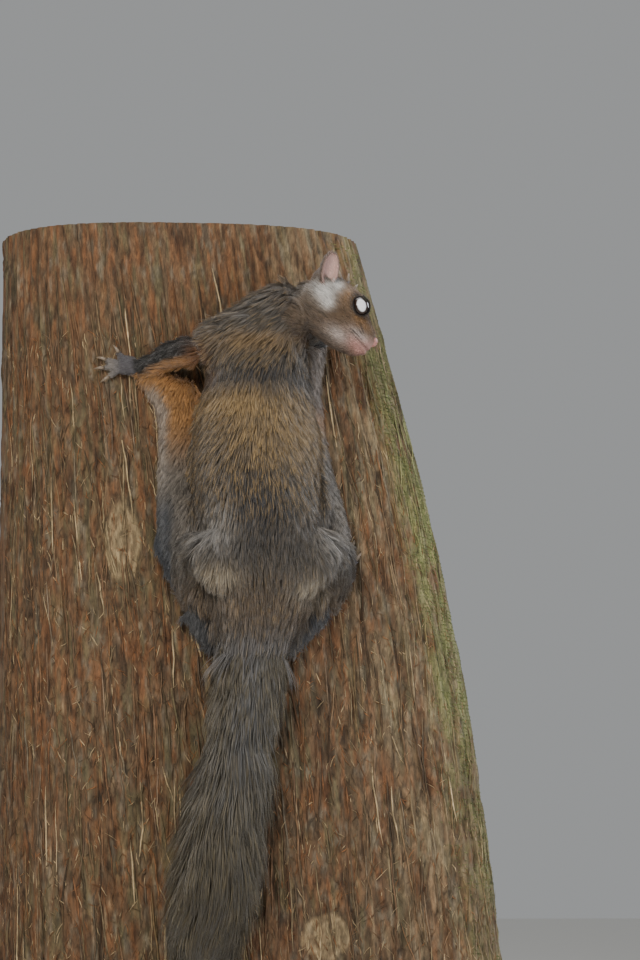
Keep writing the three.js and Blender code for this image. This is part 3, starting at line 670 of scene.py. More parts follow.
def makeSkin(nodeNames):
    folds = [foldBody(centre, radii) for centre, radii in skinFolds]
    piece = joinedCopies("skin", nodeNames, skinValues["puff"], [tailBody(tail["skinShare"])] + folds)
    applied(piece, "REMESH", mode="VOXEL", voxel_size=skinValues["voxel"] * mm, adaptivity=0.0,
            use_smooth_shade=True)
    points, normals = meshArrays(piece.data)
    pairs = edgePairs(piece.data)
    partIndex, side = partsOf(points / mm)
    # the fine parts keep their shape, the rest is smoothed more
    fine = onPart(partIndex, "head", "ear", "hand", "foot")
    share = spread(np.where(fine, 0.0, 1.0)[:, None], pairs, skinValues["edgeRounds"])
    rounded = spread(points, pairs, skinValues["fineRounds"])
    points = rounded * (1 - share) + spread(rounded, pairs, skinValues["bodyRounds"]) * share
    depths = np.array([parts[name]["depth"] for name in partNames])[partIndex][:, None]
    depths = spread(depths, pairs, skinValues["depthRounds"])[:, 0]
    # the skin lies near the solid's face round the eyes and muzzle, where the hair is short
    local = headSide(points / mm)
    onFace = onPart(partIndex, "head")
    nearFace = (1 - smoothStep(local[:, 0], 26, 48)) * onFace
    depths = depths * (1 - nearFace) + skinValues["faceDepth"] * nearFace
    eyeNear = bump(local, (eye["back"], eye["up"], 20), (13, 13, 16)) * onFace
    depths = depths * (1 - 0.8 * eyeNear)
    depths += skinValues["mouthDepth"] * mouthLine(local[:, 0], local[:, 1]) * onFace
    movePoints(piece.data, points)
    points, normals = meshArrays(piece.data)
    movePoints(piece.data, points - normals * depths[:, None] * mm)
    applied(piece, "SMOOTH", factor=0.4, iterations=2)
    applied(piece, "DECIMATE", ratio=skinValues["keep"])
    shadeSmooth(piece.data)
    return piece


# Skin under fur: living hide, thin and matt, that takes the coat's own colour
def makeHide():
    material, tree = newMaterial("hideUnderCoatMatt")
    colour = addNode(tree, "VertexColor", {"layer_name": "coatColour"})
    place = addNode(tree, "TexCoord")
    grain = addNode(tree, "TexNoise", {"Scale": patternScale(skinValues["grain"]), "Detail": 3.0},
                    {"Vector": (place, "Object")})
    raised = addNode(tree, "Bump", {"Strength": 0.35, "Distance": 0.0004}, {"Height": (grain, 0)})
    shader = addNode(tree, "BsdfPrincipled", {"Roughness": 0.72, "IOR": 1.45},
                     {"Base Color": (colour, 0), "Normal": (raised, 0)})
    finishMaterial(tree, shader)
    return material


# Guard hair: fine keratin needles, so a soft sheen along the lie and no sharp gloss
def makeFur():
    material, tree = newMaterial("guardHairSoftSheen")
    colour = addNode(tree, "VertexColor", {"layer_name": "coatColour"})
    shader = addNode(tree, "BsdfPrincipled",
                     {"Roughness": 0.58, "IOR": 1.55, "Sheen Weight": 0.25, "Sheen Roughness": 0.4},
                     {"Base Color": (colour, 0)})
    finishMaterial(tree, shader)
    return material


hide, fur = makeHide(), makeFur()
skin = makeSkin(fleshNodes)
setMaterial(skin, hide)
skinPoints, skinNormals = meshArrays(skin.data)
skinPart, skinSide = partsOf(skinPoints / mm)
skinPairs = edgePairs(skin.data)
skinColours = spread(markings(skinPoints / mm, skinNormals, skinPart, skinSide), skinPairs, 2)
addColours(skin.data, skinColours * skinValues["shade"])
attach(skin, "root")
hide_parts(*fleshNodes, "tail")
print("skin made", len(skin.data.polygons))


def makeEyes():
    # Cornea: wet and glossy over a dark iris, the wide pupil painted pale: a painted reflection of the flash
    material, tree = newMaterial("corneaWetGloss")
    colour = addNode(tree, "VertexColor", {"layer_name": "coatColour"})
    shader = addNode(tree, "BsdfPrincipled", {"Roughness": 0.05, "IOR": 1.38},
                     {"Base Color": (colour, 0)})
    finishMaterial(tree, shader)
    dark, iris, shine = (np.array(linearColour(eye[key])) for key in ("dark", "iris", "shine"))
    tilt = np.array([-0.3, 0, 0.95])  # the pupil's long way
    for name, side in zip(sides, (-1, 1)):
        low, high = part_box("eye_" + name)
        centre = (np.array(low) + np.array(high)) / 2 / mm
        points, faces = ball(5, eye["radius"])
        axis = unit(headOut * side - headBack * 0.12 + headUp * 0.05)
        rise = unit(tilt - axis * (axis @ tilt))
        acrossWay, upWay, front = points @ np.cross(axis, rise), points @ rise, points @ axis > 0
        spot = np.sqrt((acrossWay / eye["pupilAcross"]) ** 2 + (upWay / eye["pupilUp"]) ** 2)[:, None]
        ring = (1 - smoothStep(spot, *eye["irisEdge"])) * front[:, None]
        pupil = (1 - smoothStep(spot, *eye["pupilEdge"])) * front[:, None]
        # the pupil is painted pale: a painted reflection of the flash
        colours = (dark * (1 - ring) + iris * ring) * (1 - pupil) + shine * pupil
        piece = meshPiece("eyeball_" + name, (points + centre) * mm, np.array(faces), material,
                          colours=colours)
        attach(piece, "root")
        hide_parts("eye_" + name)


nosePad = {"skin": "#bd857c", "pebble": 0.4545, "puff": 0.2, "voxel": 0.4, "rounds": 3}


def makeNose():
    # Bare nose pad: moist, finely pebbled pink skin
    material, tree = newMaterial("nosePadMoist")
    place = addNode(tree, "TexCoord")
    pebbles = addNode(tree, "TexVoronoi", {"Scale": patternScale(nosePad["pebble"])},
                      {"Vector": (place, "Object")})
    raised = addNode(tree, "Bump", {"Strength": 0.3, "Distance": 0.0003}, {"Height": (pebbles, 0)})
    shader = addNode(tree, "BsdfPrincipled",
                     {"Base Color": rgba(nosePad["skin"]), "Roughness": 0.42, "IOR": 1.4,
                      "Subsurface Weight": 0.15, "Subsurface Scale": 0.002}, {"Normal": (raised, 0)})
    finishMaterial(tree, shader)
    piece = joinedCopies("nosePad", ["nose"], nosePad["puff"])
    applied(piece, "REMESH", mode="VOXEL", voxel_size=nosePad["voxel"] * mm, use_smooth_shade=True)
    applied(piece, "SMOOTH", factor=0.5, iterations=nosePad["rounds"])
    setMaterial(piece, material)
    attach(piece, "root")
    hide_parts("nose")


# Claws: where each hand's or foot's digits start and where they end, as across and up in millimetres
claws = {
    "length": 9, "thick": 3.6, "arch": 2.6, "offBark": 4.4, "sink": 3.4, "tipRadius": 0.12,
    "horn": "#857766", "rings": 7, "corners": 8,
    "digits": (
        ((-122, 667), ((-131, 680), (-143, 673), (-145, 665), (-140, 656))),
        ((79, 733), ((68, 752), (76, 757), (84, 755), (90, 747))),
        ((-77, 478), ((-68, 502), (-73, 507), (-79, 507), (-84, 502), (-88, 492))),
        ((78, 478), ((69, 502), (74, 507), (80, 507), (85, 502), (89, 492))),
    ),
}
whiskers = {
    "count": 13, "inRow": 5, "length": (18, 38), "rootRadius": 0.32, "tipRadius": 0.08, "hair": "#1d1815",
    "back": 8, "backStep": 1.6, "up": -3.2, "rowStep": 1.7, "out": 8.5, "curlUp": 2.4, "curlIn": 3,
    "rings": 7, "corners": 5,
}


def taperedTube(path, radii, corners):
    # rings round a path, closed at both ends
    path = np.array(path)
    points = []
    for row, (place, radius) in enumerate(zip(path, radii)):
        along = unit(path[min(row + 1, len(path) - 1)] - path[max(row - 1, 0)])
        across = unit(np.cross(along, (0.3, 0.5, 0.81)))
        over = np.cross(along, across)
        for step in range(corners):
            turn = 2 * math.pi * step / corners
            points.append(place + radius * (across * math.cos(turn) + over * math.sin(turn)))
    ends = [tuple(range(corners))[::-1], tuple(range(len(points) - corners, len(points)))]
    return np.array(points), ringQuads(len(path), corners) + ends


def joinedTubes(name, tubes, material):
    points, faces = combined([taperedTube(*tube) for tube in tubes])
    piece = meshPiece(name, points * mm, faces, material)
    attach(piece, "root")


def makeClaws():
    # Claw horn: hard keratin, half gloss, that catches a small highlight
    material, tree = newMaterial("clawHornSatin")
    shader = addNode(tree, "BsdfPrincipled",
                     {"Base Color": rgba(claws["horn"]), "Roughness": 0.3, "IOR": 1.55})
    finishMaterial(tree, shader)
    tubes = []
    shares = np.linspace(0, 1, claws["rings"])
    for (rootX, rootZ), tips in claws["digits"]:
        for x, z in tips:
            reach = unit(np.array([x - rootX, 0, z - rootZ], dtype=float))
            start = np.array([x, barkFront(x, z) - claws["offBark"], z])
            path = []
            for share in shares:
                # up over the joint, then down into the bark
                rise = claws["arch"] * math.sin(math.pi * min(share * 1.15, 1))
                off = -rise + claws["sink"] * share ** 2
                path.append(start + reach * (claws["length"] * share - 1) + np.array([0, off, 0]))
            radii = [claws["thick"] / 2 * (1 - share) ** 0.7 + claws["tipRadius"] for share in shares]
            tubes.append((path, radii, claws["corners"]))
    joinedTubes("clawSet", tubes, material)


def makeWhiskers():
    # Whiskers: stiff dark hair, smooth enough to shine along one line
    material, tree = newMaterial("whiskerHairSatin")
    shader = addNode(tree, "BsdfPrincipled",
                     {"Base Color": rgba(whiskers["hair"]), "Roughness": 0.35, "IOR": 1.55})
    finishMaterial(tree, shader)
    random = np.random.default_rng(5)
    tubes = []
    shares = np.linspace(0, 1, whiskers["rings"])
    radii = np.linspace(whiskers["rootRadius"], whiskers["tipRadius"], whiskers["rings"])
    for side in (-1, 1):
        for number in range(whiskers["count"]):
            row, place = divmod(number, whiskers["inRow"])
            back = whiskers["back"] + whiskers["backStep"] * place + random.uniform(-0.4, 0.4)
            up = whiskers["up"] - whiskers["rowStep"] * row + random.uniform(-0.3, 0.3)
            root = headPoint(back, up, side * whiskers["out"])
            length = random.uniform(*whiskers["length"]) * (0.6 + 0.4 * place / 4)
            way = unit(headBack * 0.75 + headOut * side * 0.62 + headUp * (0.28 - 0.18 * row))
            path = [root + way * length * share + headUp * whiskers["curlUp"] * share ** 2
                    - headOut * side * whiskers["curlIn"] * share ** 2 for share in shares]
            tubes.append((path, radii, whiskers["corners"]))
    joinedTubes("whiskerSet", tubes, material)


makeEyes()
makeNose()
makeClaws()
makeWhiskers()
print("eyes, nose, claws and whiskers made")


# Coat: tapered three-sided tufts, rooted in the skin, gathered into locks at their tips. The pieces hold
# the parts they cover and their slot; short tufts have a ring less.
coatValues = {
    "share": 0.86, "hidden": 0.25, "swirl": 0.35, "jitter": 0.09, "tuftsInLock": 16, "pull": 0.35,
    "gather": 0.55, "gatherHead": 0.25, "gatherMiddle": 0.35, "sunk": 0.6, "rootShade": 0.62,
    "tipShade": 1.15, "swirlSize": 26, "liftAtRoot": 1.7, "liftAtTip": 0.35,
    "tailLength": ([128, 170, 260, 350, 412], [0.62, 1.12, 1.12, 0.95, 0.45]),
    "tailReach": ([92, 130, 170], [0.92, 1.02, 1.12]),
    "faceLength": ([3, 14, 30, 55, 75], [0.28, 0.4, 0.6, 1.0, 1.5]),
    "patch": 0.003, "tiles": 5, "trianglesInPiece": 190000,
    "pieces": {
        "coatBack": (("torso", "neck"), "coat"),
        "coatHead": (("head", "ear"), "face_coat"),
        "coatHands": (("hand", "foot"), "hand_skin"),
        "coatArms": (("upper_arm", "forearm"), "dark_coat"),
        "coatLegs": (("thigh", "shank"), "coat"),
        "coatMembranes": (("patagium", "uropatagium"), "membrane_coat"),
        "coatTail": (("tail",), "coat"),
    },
    "short": ("coatHead", "coatHands"),
}
# length, lift, width and count at each of the skin's points, then the lie in the next three columns
properties = np.array([[parts[name][key] for key in ("length", "lift", "width", "count")]
                       for name in partNames])
perVertex = np.hstack([properties[skinPart], lieOf(skinPoints / mm, skinPart, skinSide)])
perVertex = spread(perVertex, skinPairs, 16)
skin.data.calc_loop_triangles()
triangles = gathered(skin.data.loop_triangles, "vertices", 3, np.int32)


def rootPlaces(random):
    corner = skinPoints[triangles] / mm
    areas = np.linalg.norm(np.cross(corner[:, 1] - corner[:, 0], corner[:, 2] - corner[:, 0]), axis=1) / 2
    density = perVertex[triangles, 3].mean(axis=1) / 100
    middle = corner.mean(axis=1)
    normals = unit(skinNormals[triangles].mean(axis=1))
    owner = skinPart[triangles[:, 0]]
    onHead, onEar = onPart(owner, "head"), onPart(owner, "ear")
    # none grow on the eyes, the lids' edge, the nose or the lips
    local = headSide(middle)
    back, up = local[:, 0], local[:, 1]
    ring, along = eyeDistance(local)
    bare = (ring < eye["lidRadius"] + 0.6) & (along > 0)
    bare |= (back < 3.5) & (up > -8)
    bare |= mouthLine(back, up) > 0.3
    density[bare & onHead] = 0
    density[onEar] *= 1 - 0.8 * insideEar(middle, normals)[onEar]
    # the side that lies on the bark needs few
    hidden = (normals[:, 1] > 0.55) & ~onPart(owner, "head", "tail")
    density[hidden] *= coatValues["hidden"]
    wanted = areas * density * coatValues["share"]
    counts = np.floor(wanted + random.random(len(wanted))).astype(int)
    chosen = np.repeat(np.arange(len(triangles)), counts)
    a, b = random.random(len(chosen)), random.random(len(chosen))
    flip = a + b > 1
    a[flip], b[flip] = 1 - a[flip], 1 - b[flip]
    return chosen, np.stack([1 - a - b, a, b], axis=1)


def blended(values, chosen, weights):
    return np.einsum("ijk,ij->ik", values[triangles[chosen]], weights)


def chartPlaces(points, partIndex, side):
    # an unwrap of the body by its own parts: round each part and along it, each in a tile of its own
    tiles = coatValues["tiles"]
    u, v = np.zeros(len(points)), np.zeros(len(points))
    for index, name in enumerate(partNames):
        for sideIndex, sign in enumerate((-1, 1)):
            chosen = (partIndex == index) & (side == sign)
            if not chosen.any():
                continue
            offset = points[chosen] - points[chosen].mean(axis=0)
            along = unit(np.array(parts[name]["lie"], dtype=float))
            across = unit(np.cross(along, outward))
            turn = np.arctan2(offset @ across, offset @ outward) / (2 * math.pi) + 0.5
            length = offset @ along
            share = (length - length.min()) / max(np.ptp(length), 1e-6)
            tile = index * 2 + sideIndex if name not in ("torso", "neck", "head", "tail") else index
            tile = tile % (tiles * tiles)
            u[chosen] = (tile % tiles + 0.02 + 0.96 * turn) / tiles
            v[chosen] = (tile // tiles + 0.02 + 0.96 * share) / tiles
    return u, v


def growCoat():
    random = np.random.default_rng(11)
    chosen, weights = rootPlaces(random)
    roots = blended(skinPoints / mm, chosen, weights)
    normals = unit(blended(skinNormals, chosen, weights))
    values = blended(perVertex, chosen, weights)
    length, lift, width = values[:, 0], values[:, 1], values[:, 2]
    lie = unit(values[:, 4:7])
    partIndex = skinPart[triangles[chosen, 0]]
    side = skinSide[triangles[chosen, 0]]
    onTail, onHead = onPart(partIndex, "tail"), onPart(partIndex, "head")
    length = np.where(onTail, length * np.interp(roots[:, 2], *coatValues["tailLength"]), length)
    length = np.where(onHead, length * np.interp(headPlaces(roots)[0], *coatValues["faceLength"]), length)
    length = length * (0.75 + 0.5 * random.random(len(roots)))
    # the lie follows the skin, with slow swirls
    slow = layeredNoise(roots / coatValues["swirlSize"], 5, 2)[:, None]
    flat = lie + slow * np.cross(normals, lie) * coatValues["swirl"]
    flat = unit(flat - normals * np.sum(flat * normals, axis=1, keepdims=True))
    lifted = lift * (0.75 + 0.5 * random.random(len(roots)))
    start = unit(flat + normals * (lifted * coatValues["liftAtRoot"])[:, None])
    finish = unit(flat + normals * (lifted * coatValues["liftAtTip"])[:, None])
    jitter = random.normal(0, coatValues["jitter"], (len(roots), 3))
    mid = roots + unit(start + jitter) * (length * 0.5)[:, None]
    tip = mid + unit(finish + jitter * 1.3) * (length * 0.5)[:, None]
    # tips gather toward the tip of the lock's leader
    lockCount = max(len(roots) // coatValues["tuftsInLock"], 1)
    leaders = random.choice(len(roots), lockCount, replace=False)
    tree = KDTree(lockCount)
    for i, leader in enumerate(leaders):
        tree.insert(roots[leader], i)
    tree.balance()
    lock = leaders[np.array([tree.find(root)[1] for root in roots])]
    shift = tip[lock] - tip
    reach = np.linalg.norm(shift, axis=1, keepdims=True)
    shift = shift * np.minimum(1, coatValues["pull"] * length[:, None] / np.maximum(reach, 1e-6))
    gather = np.where(onHead, coatValues["gatherHead"], coatValues["gather"])[:, None]
    tip = tip + shift * gather
    mid = mid + shift * gather * coatValues["gatherMiddle"]
    spare = np.interp(tip[onTail, 2], *coatValues["tailReach"])
    tip[onTail] = insideTail(tip[onTail], spare)
    mid[onTail] = insideTail(mid[onTail], spare * 0.94)
    return {"roots": roots, "normals": normals, "mid": mid, "tip": tip, "width": width,
            "part": partIndex, "side": side, "lock": lock}


coat = growCoat()


def tuftColours(coat):
    # three colours for each tuft: at its root, in its middle and at its tip
    random = np.random.default_rng(23)
    roots = coat["roots"]
    count = len(roots)
    z = roots[:, 2]
    shade = 1 + 0.16 * random.normal(0, 1, count) + 0.22 * layeredNoise(roots / 9, 31, 2)
    lockShade = np.random.default_rng(41).normal(0, 0.12, count)[coat["lock"]]
    shade = np.clip(shade + lockShade, 0.45, 1.9)
    base = markings(roots, coat["normals"], coat["part"], coat["side"]) * shade[:, None]
    # pale, warm tips on the back and the neck
    tipped = random.random(count)
    torso = onPart(coat["part"], "torso", "neck", "thigh", "upper_arm")
    warm = torso * smoothStep(tipped, 0.45, 0.8) * smoothStep(-np.abs(z - 610), -110, -40)
    low = np.interp(z, [480, 500, 545, 575], [0.5, 0.25, 0.25, 0.6])
    warm = np.maximum(warm, torso * smoothStep(tipped, 0.7, 0.95) * low)
    # fewer pale tips in the painted shadow between the shoulder hump and the back
    warm *= 1 - 0.7 * np.exp(-((z - 657) / 12) ** 2)
    tips = base * coatValues["tipShade"] * (1 - warm[:, None]) + hues["paleTipsAndHighlight"] * 1.2 * warm[:, None]
    tailWarm = onPart(coat["part"], "tail") * smoothStep(tipped, 0.4, 0.9) * 0.7
    tips = painted(tips, hues, [("tailTip", tailWarm)])
    return base * coatValues["rootShade"], base, np.clip(tips, 0, 1)


def tuftMesh(name, coat, chosen, colours, u, v, short):
    roots, mid, tip, normals = (coat[key][chosen] for key in ("roots", "mid", "tip", "normals"))
    width = coat["width"][chosen][:, None]
    along = unit(mid - roots)
    across = unit(np.cross(along, normals))
    over = np.cross(across, along)
    rings = []
    sunk = roots - normals * coatValues["sunk"]
    # the tuft is widest at a third of its length
    stations = [(sunk, 0.7), (roots * 0.45 + mid * 0.55, 1.0), (mid * 0.55 + tip * 0.45, 0.62)]
    if short:
        stations = [(sunk, 0.85), (roots * 0.2 + mid * 0.8, 0.9)]
    for centre, fullness in stations:
        for turn in (0, 1, 2):
            angle = 2 * math.pi * turn / 3 + math.pi / 6
            offset = across * math.cos(angle) + over * math.sin(angle) * 0.6
            rings.append(centre + offset * width * fullness * 0.5)
    points = np.stack(rings + [tip], axis=1)
    last = 3 * (len(stations) - 1)
    local = []
    for a, b, c, d in ringQuads(len(stations), 3):
        local += [(a, b, c), (a, c, d)]
    local += [(last + turn, last + (turn + 1) % 3, last + 3) for turn in range(3)]
    faces = repeatedFaces(local, len(roots), last + 4)
    low, base, tips = (shade[chosen] for shade in colours)
    shades = [low, base] if short else [low, base, base * 0.5 + tips * 0.5]
    ringColours = np.stack([shade for shade in shades for _ in range(3)] + [tips], axis=1)
    piece = meshPiece(name, points.reshape(-1, 3) * mm, faces, fur, colours=ringColours.reshape(-1, 3))
    uvLayer = piece.data.uv_layers.new(name="OFBake")
    cornerU = np.array([0, 0.5, 1] * len(stations) + [0.5]) * coatValues["patch"]
    cornerV = np.append(np.repeat(np.linspace(0, 0.75, len(stations)), 3), 1) * coatValues["patch"]
    allU = (u[chosen][:, None] + cornerU[None]).reshape(-1)
    allV = (v[chosen][:, None] + cornerV[None]).reshape(-1)
    corners = faces.reshape(-1)
    uvLayer.data.foreach_set("uv", np.stack([allU[corners], allV[corners]], axis=1).astype(np.float32).ravel())
    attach(piece, "root")
    return piece


def makeCoat():
    colours = tuftColours(coat)
    u, v = chartPlaces(coat["roots"], coat["part"], coat["side"])
    most = coatValues["trianglesInPiece"] // 15
    for name, (members, slotName) in coatValues["pieces"].items():
        chosen = np.nonzero(onPart(coat["part"], *members))[0]
        chosen = chosen[np.argsort(-coat["roots"][chosen][:, 2])]
        pieces = max(1, math.ceil(len(chosen) / most))
        for number, some in enumerate(np.array_split(chosen, pieces)):
            short = name in coatValues["short"]
            piece = tuftMesh(name + str(number + 1), coat, some, colours, u, v, short)


makeCoat()
print("coat made", len(coat["roots"]))

# Bark: fibrous strips of dry cedar bark over the trunk's own surface. Knots are given as across, up and
# their two half widths, the trunk's right edge as levels and places across.
bark = {
    "columns": 380, "rows": 210, "bottom": 62, "top": 800, "left": -235,
    "fibre": 0.8, "crack": 1.6, "most": 1.4, "easedEdge": 6, "ray": 420,
    "fibreSize": (1.176, 1.176, 6.67), "plateSize": (5, 5, 13.3),
    "knots": ((-126, 504, 16, 34), (62, 150, 22, 20)),
    "rightEdge": ([62, 135, 450, 585, 765, 800], [243, 233, 188, 160, 109, 99]),
}
barkColourCodes = {
    "red": "#7f5434", "brown": "#63503b", "grey": "#7c7463", "dark": "#2b211a", "pale": "#b3a07d",
    "green": "#66664a", "straw": "#c8b088", "rust": "#9a6a44", "moss": "#99a163", "mossDark": "#666e43",
    "knot": "#a5916e",
}
barkHues = {name: np.array(linearColour(value)) for name, value in barkColourCodes.items()}
looseBark = {
    "looseStrips": {"count": 1100, "rows": (5, 22), "width": (0.9, 2.6), "lift": (0.6, 3.2), "stations": 5,
                    "straw": 0.1, "rust": 0.0},
    "barkFlecks": {"count": 9000, "rows": (1, 4), "width": (0.4, 1.3), "lift": (0.2, 1.1), "stations": 3,
                   "straw": 0.26, "rust": 0.22},
}
moss = {
    "shoots": 9000, "length": (1.2, 4.2), "share": 0.9, "shade": 0.5, "splay": 0.45, "droop": 0.4, "sunk": 0.4,
}
stripThickness = 0.35


def makeBarkMaterial():
    # Weathered cedar bark: dry and matt, split into stringy fibres about 1.2 mm wide and 7 mm long
    material, tree = newMaterial("cedarBarkWeathered")
    place = addNode(tree, "TexCoord")
    colour = addNode(tree, "VertexColor", {"layer_name": "coatColour"})
    stretched = addNode(tree, "Mapping", {"Scale": patternScale(bark["fibreSize"])},
                        {"Vector": (place, "Object")})
    fibre = addNode(tree, "TexNoise",
                    {"Scale": 1.0, "Detail": 8.0, "Roughness": 0.75, "Distortion": 0.5},
                    {"Vector": (stretched, 0)})
    broad = addNode(tree, "Mapping", {"Scale": patternScale(bark["plateSize"])},
                    {"Vector": (place, "Object")})
    plates = addNode(tree, "TexNoise", {"Scale": 1.0, "Detail": 4.0, "Distortion": 0.8},
                     {"Vector": (broad, 0)})
    lightness = addNode(tree, "MapRange",
                        {"From Min": 0.3, "From Max": 0.7, "To Min": 0.4, "To Max": 1.6}, {"Value": (fibre, 0)})
    toned = addNode(tree, "MapRange",
                    {"From Min": 0.35, "From Max": 0.65, "To Min": 0.65, "To Max": 1.25},
                    {"Value": (plates, 0)})
    both = addNode(tree, "Math", {"operation": "MULTIPLY"}, {0: (lightness, 0), 1: (toned, 0)})
    shaded = addNode(tree, "VectorMath", {"operation": "SCALE"}, {0: (colour, 0), "Scale": (both, 0)})
    raised = addNode(tree, "Bump", {"Strength": 0.9, "Distance": 0.0012}, {"Height": (fibre, 0)})
    shader = addNode(tree, "BsdfPrincipled", {"Roughness": 0.9, "IOR": 1.5},
                     {"Base Color": (shaded, 0), "Normal": (raised, 0)})
    finishMaterial(tree, shader)
    return material


def rightEdge(z):
    return np.interp(z, *bark["rightEdge"])


def barkField(points, across, deep, tall, seed, layers=3):
    # noise drawn out along the fibres, which follow the trunk's right edge on that side and stand
    # upright on the left
    x, y, z = points.T
    lean = (x - bark["left"]) / (rightEdge(z) - bark["left"]) * 440
    return layeredNoise(np.stack([lean / across, y / deep, z / tall], axis=1), seed, layers)


def barkRelief(points):
    fine = barkField(points, 3.4, 9, 55, 9)
    crack = 1 - np.abs(barkField(points, 11, 15, 75, 15))
    shelf = barkField(points, 8, 15, 30, 27, 2)
    relief = bark["fibre"] * (fine + 0.7 * shelf) - bark["crack"] * smoothStep(crack, 0.88, 1.0)
    return relief, fine, crack, shelf


def mossShare(points):
    x, z = points[:, 0], points[:, 2]
    patches = layeredNoise(points / 20, 51, 3)
    band = smoothStep(x, rightEdge(z) - 52, rightEdge(z) - 16)
    strength = np.interp(z, [62, 300, 430, 640, 720, 800], [0.3, 0.45, 0.9, 0.9, 0.4, 0.3])
    return band * strength * smoothStep(patches, -0.55, 0.25)


def barkColours(points, fine, crack, shelf):
    x, z = points[:, 0], points[:, 2]

    def patches(across, tall, seed, low, high):
        return smoothStep(barkField(points, across, across, tall, seed), low, high)

    rightSide = smoothStep(x, rightEdge(z) - 150, rightEdge(z) - 60)
    layers = [
        ("red", 0.4 * patches(26, 70, 61, -0.3, 0.5)),
        ("red", 0.7 * patches(3.2, 24, 62, -0.15, 0.45)),
        ("green", 0.5 * patches(6, 30, 67, -0.05, 0.45)),
        ("grey", 0.6 * patches(4.5, 13, 71, 0.1, 0.5)),
        ("pale", 0.45 * smoothStep(fine, 0.35, 0.75)),
        ("pale", 0.35 * rightSide * patches(9, 50, 73, -0.3, 0.4)),
        # painted shade: darker in the cracks and in the low parts of the bark's relief
        ("dark", 0.6 * smoothStep(crack, 0.9, 1.0)),
        ("dark", 0.4 * smoothStep(-shelf, 0.35, 0.85)),
    ]
    for across, up, wide, tall in bark["knots"]:
        distance = np.sqrt(((x - across) / wide) ** 2 + ((z - up) / tall) ** 2)
        distance *= 1 + 0.22 * layeredNoise(points / 13, 83, 2)
        rings = 0.5 + 0.5 * np.sin(distance * 16 + 2 * fine)
        layers += [
            ("knot", (0.5 + 0.45 * rings) * (1 - smoothStep(distance, 0.8, 1.4))),
            ("dark", 0.3 * (1 - rings) * (1 - smoothStep(distance, 0.7, 1.3))),
            ("dark", 0.5 * np.exp(-((distance - 1.15) / 0.12) ** 2)),
        ]
    green = mossShare(points)
    layers += [
        ("moss", 0.8 * green * smoothStep(fine, -0.9, 0.3)),
        ("mossDark", 0.35 * green * smoothStep(-fine, 0.1, 0.6)),
    ]
    return painted(np.tile(barkHues["brown"], (len(points), 1)), barkHues, layers)


def makePerch():
    material = makeBarkMaterial()
    columns, rows = bark["columns"], bark["rows"]
    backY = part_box("perch_trunk")[1][1] / mm
    points = []
    levels = np.linspace(bark["bottom"], bark["top"], rows)
    # columns stand closer where the surface turns, so that they are even along the bark
    for z in levels:
        safeZ = min(max(z, bark["bottom"] + 0.5), bark["top"] - 0.5)
        middle = (rightEdge(z) + bark["left"]) / 2
        for column in range(columns):
            angle = math.pi * (1 - column / (columns - 1))
            direction = Vector((math.cos(angle) * 1.25, -math.sin(angle), 0)).normalized()
            start = Vector((middle, backY - 0.2, safeZ)) + direction * bark["ray"]
            hit = perchTree.ray_cast(start, -direction)
            place = hit[0] if hit[0] is not None else Vector((middle, backY, safeZ))
            points.append((place.x, place.y, z))
    points = np.array(points)
    relief, fine, crack, shelf = barkRelief(points)
    grid = points.reshape(rows, columns, 3)
    acrossStep = np.gradient(grid, axis=1)
    acrossStep[:, 3:-3] = sum(np.roll(acrossStep, shift, axis=1)[:, 3:-3] for shift in range(-3, 4)) / 7
    upStep = np.gradient(grid, axis=0)
    normals = unit(np.cross(upStep.reshape(-1, 3), acrossStep.reshape(-1, 3)))
    normals *= np.where(normals[:, 1:2] > 0.3, -1, 1)
    column = np.tile(np.arange(columns), rows)
    edge = np.minimum(column, columns - 1 - column)
    relief = np.minimum(relief, bark["most"]) * smoothStep(edge, 0, bark["easedEdge"])
    moved = points + normals * relief[:, None]
    colours = barkColours(points, fine, crack, shelf)
    index = np.arange(rows * columns).reshape(rows, columns)
    quads = np.stack([index[:-1, :-1], index[:-1, 1:], index[1:, 1:], index[1:, :-1]], axis=-1).reshape(-1, 4)
    piece = meshPiece("barkedTrunk", moved * mm, quads, material, colours=colours)
    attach(piece, "root")
    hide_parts("perch_trunk")
    return [values.reshape(rows, columns, 3) for values in (moved, normals, colours)]


def ribbonPiece(name, starts, paths, widths, thickness, colours, material):
    # flat strips: paths holds the points along each one, colours one for each strip
    count, stations, _ = paths.shape
    along = unit(paths[:, -1] - paths[:, 0])
    across = unit(np.cross(along, starts))
    shape = np.interp(np.linspace(0, 1, stations), [0, 0.25, 0.75, 1], [0.5, 1.0, 0.85, 0.2])
    rings = []
    for row in range(stations):
        half = across * (widths * shape[row] / 2)[:, None]
        lift = starts * thickness * shape[row]
        rings += [paths[:, row] - half, paths[:, row] + lift, paths[:, row] + half]
    points = np.stack(rings, axis=1)
    faces = repeatedFaces(ringQuads(stations, 3), count, stations * 3)
    shades = np.repeat(colours[:, None], stations * 3, axis=1).reshape(-1, 3)
    piece = meshPiece(name, points.reshape(-1, 3) * mm, faces, material, colours=shades)
    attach(piece, "root")


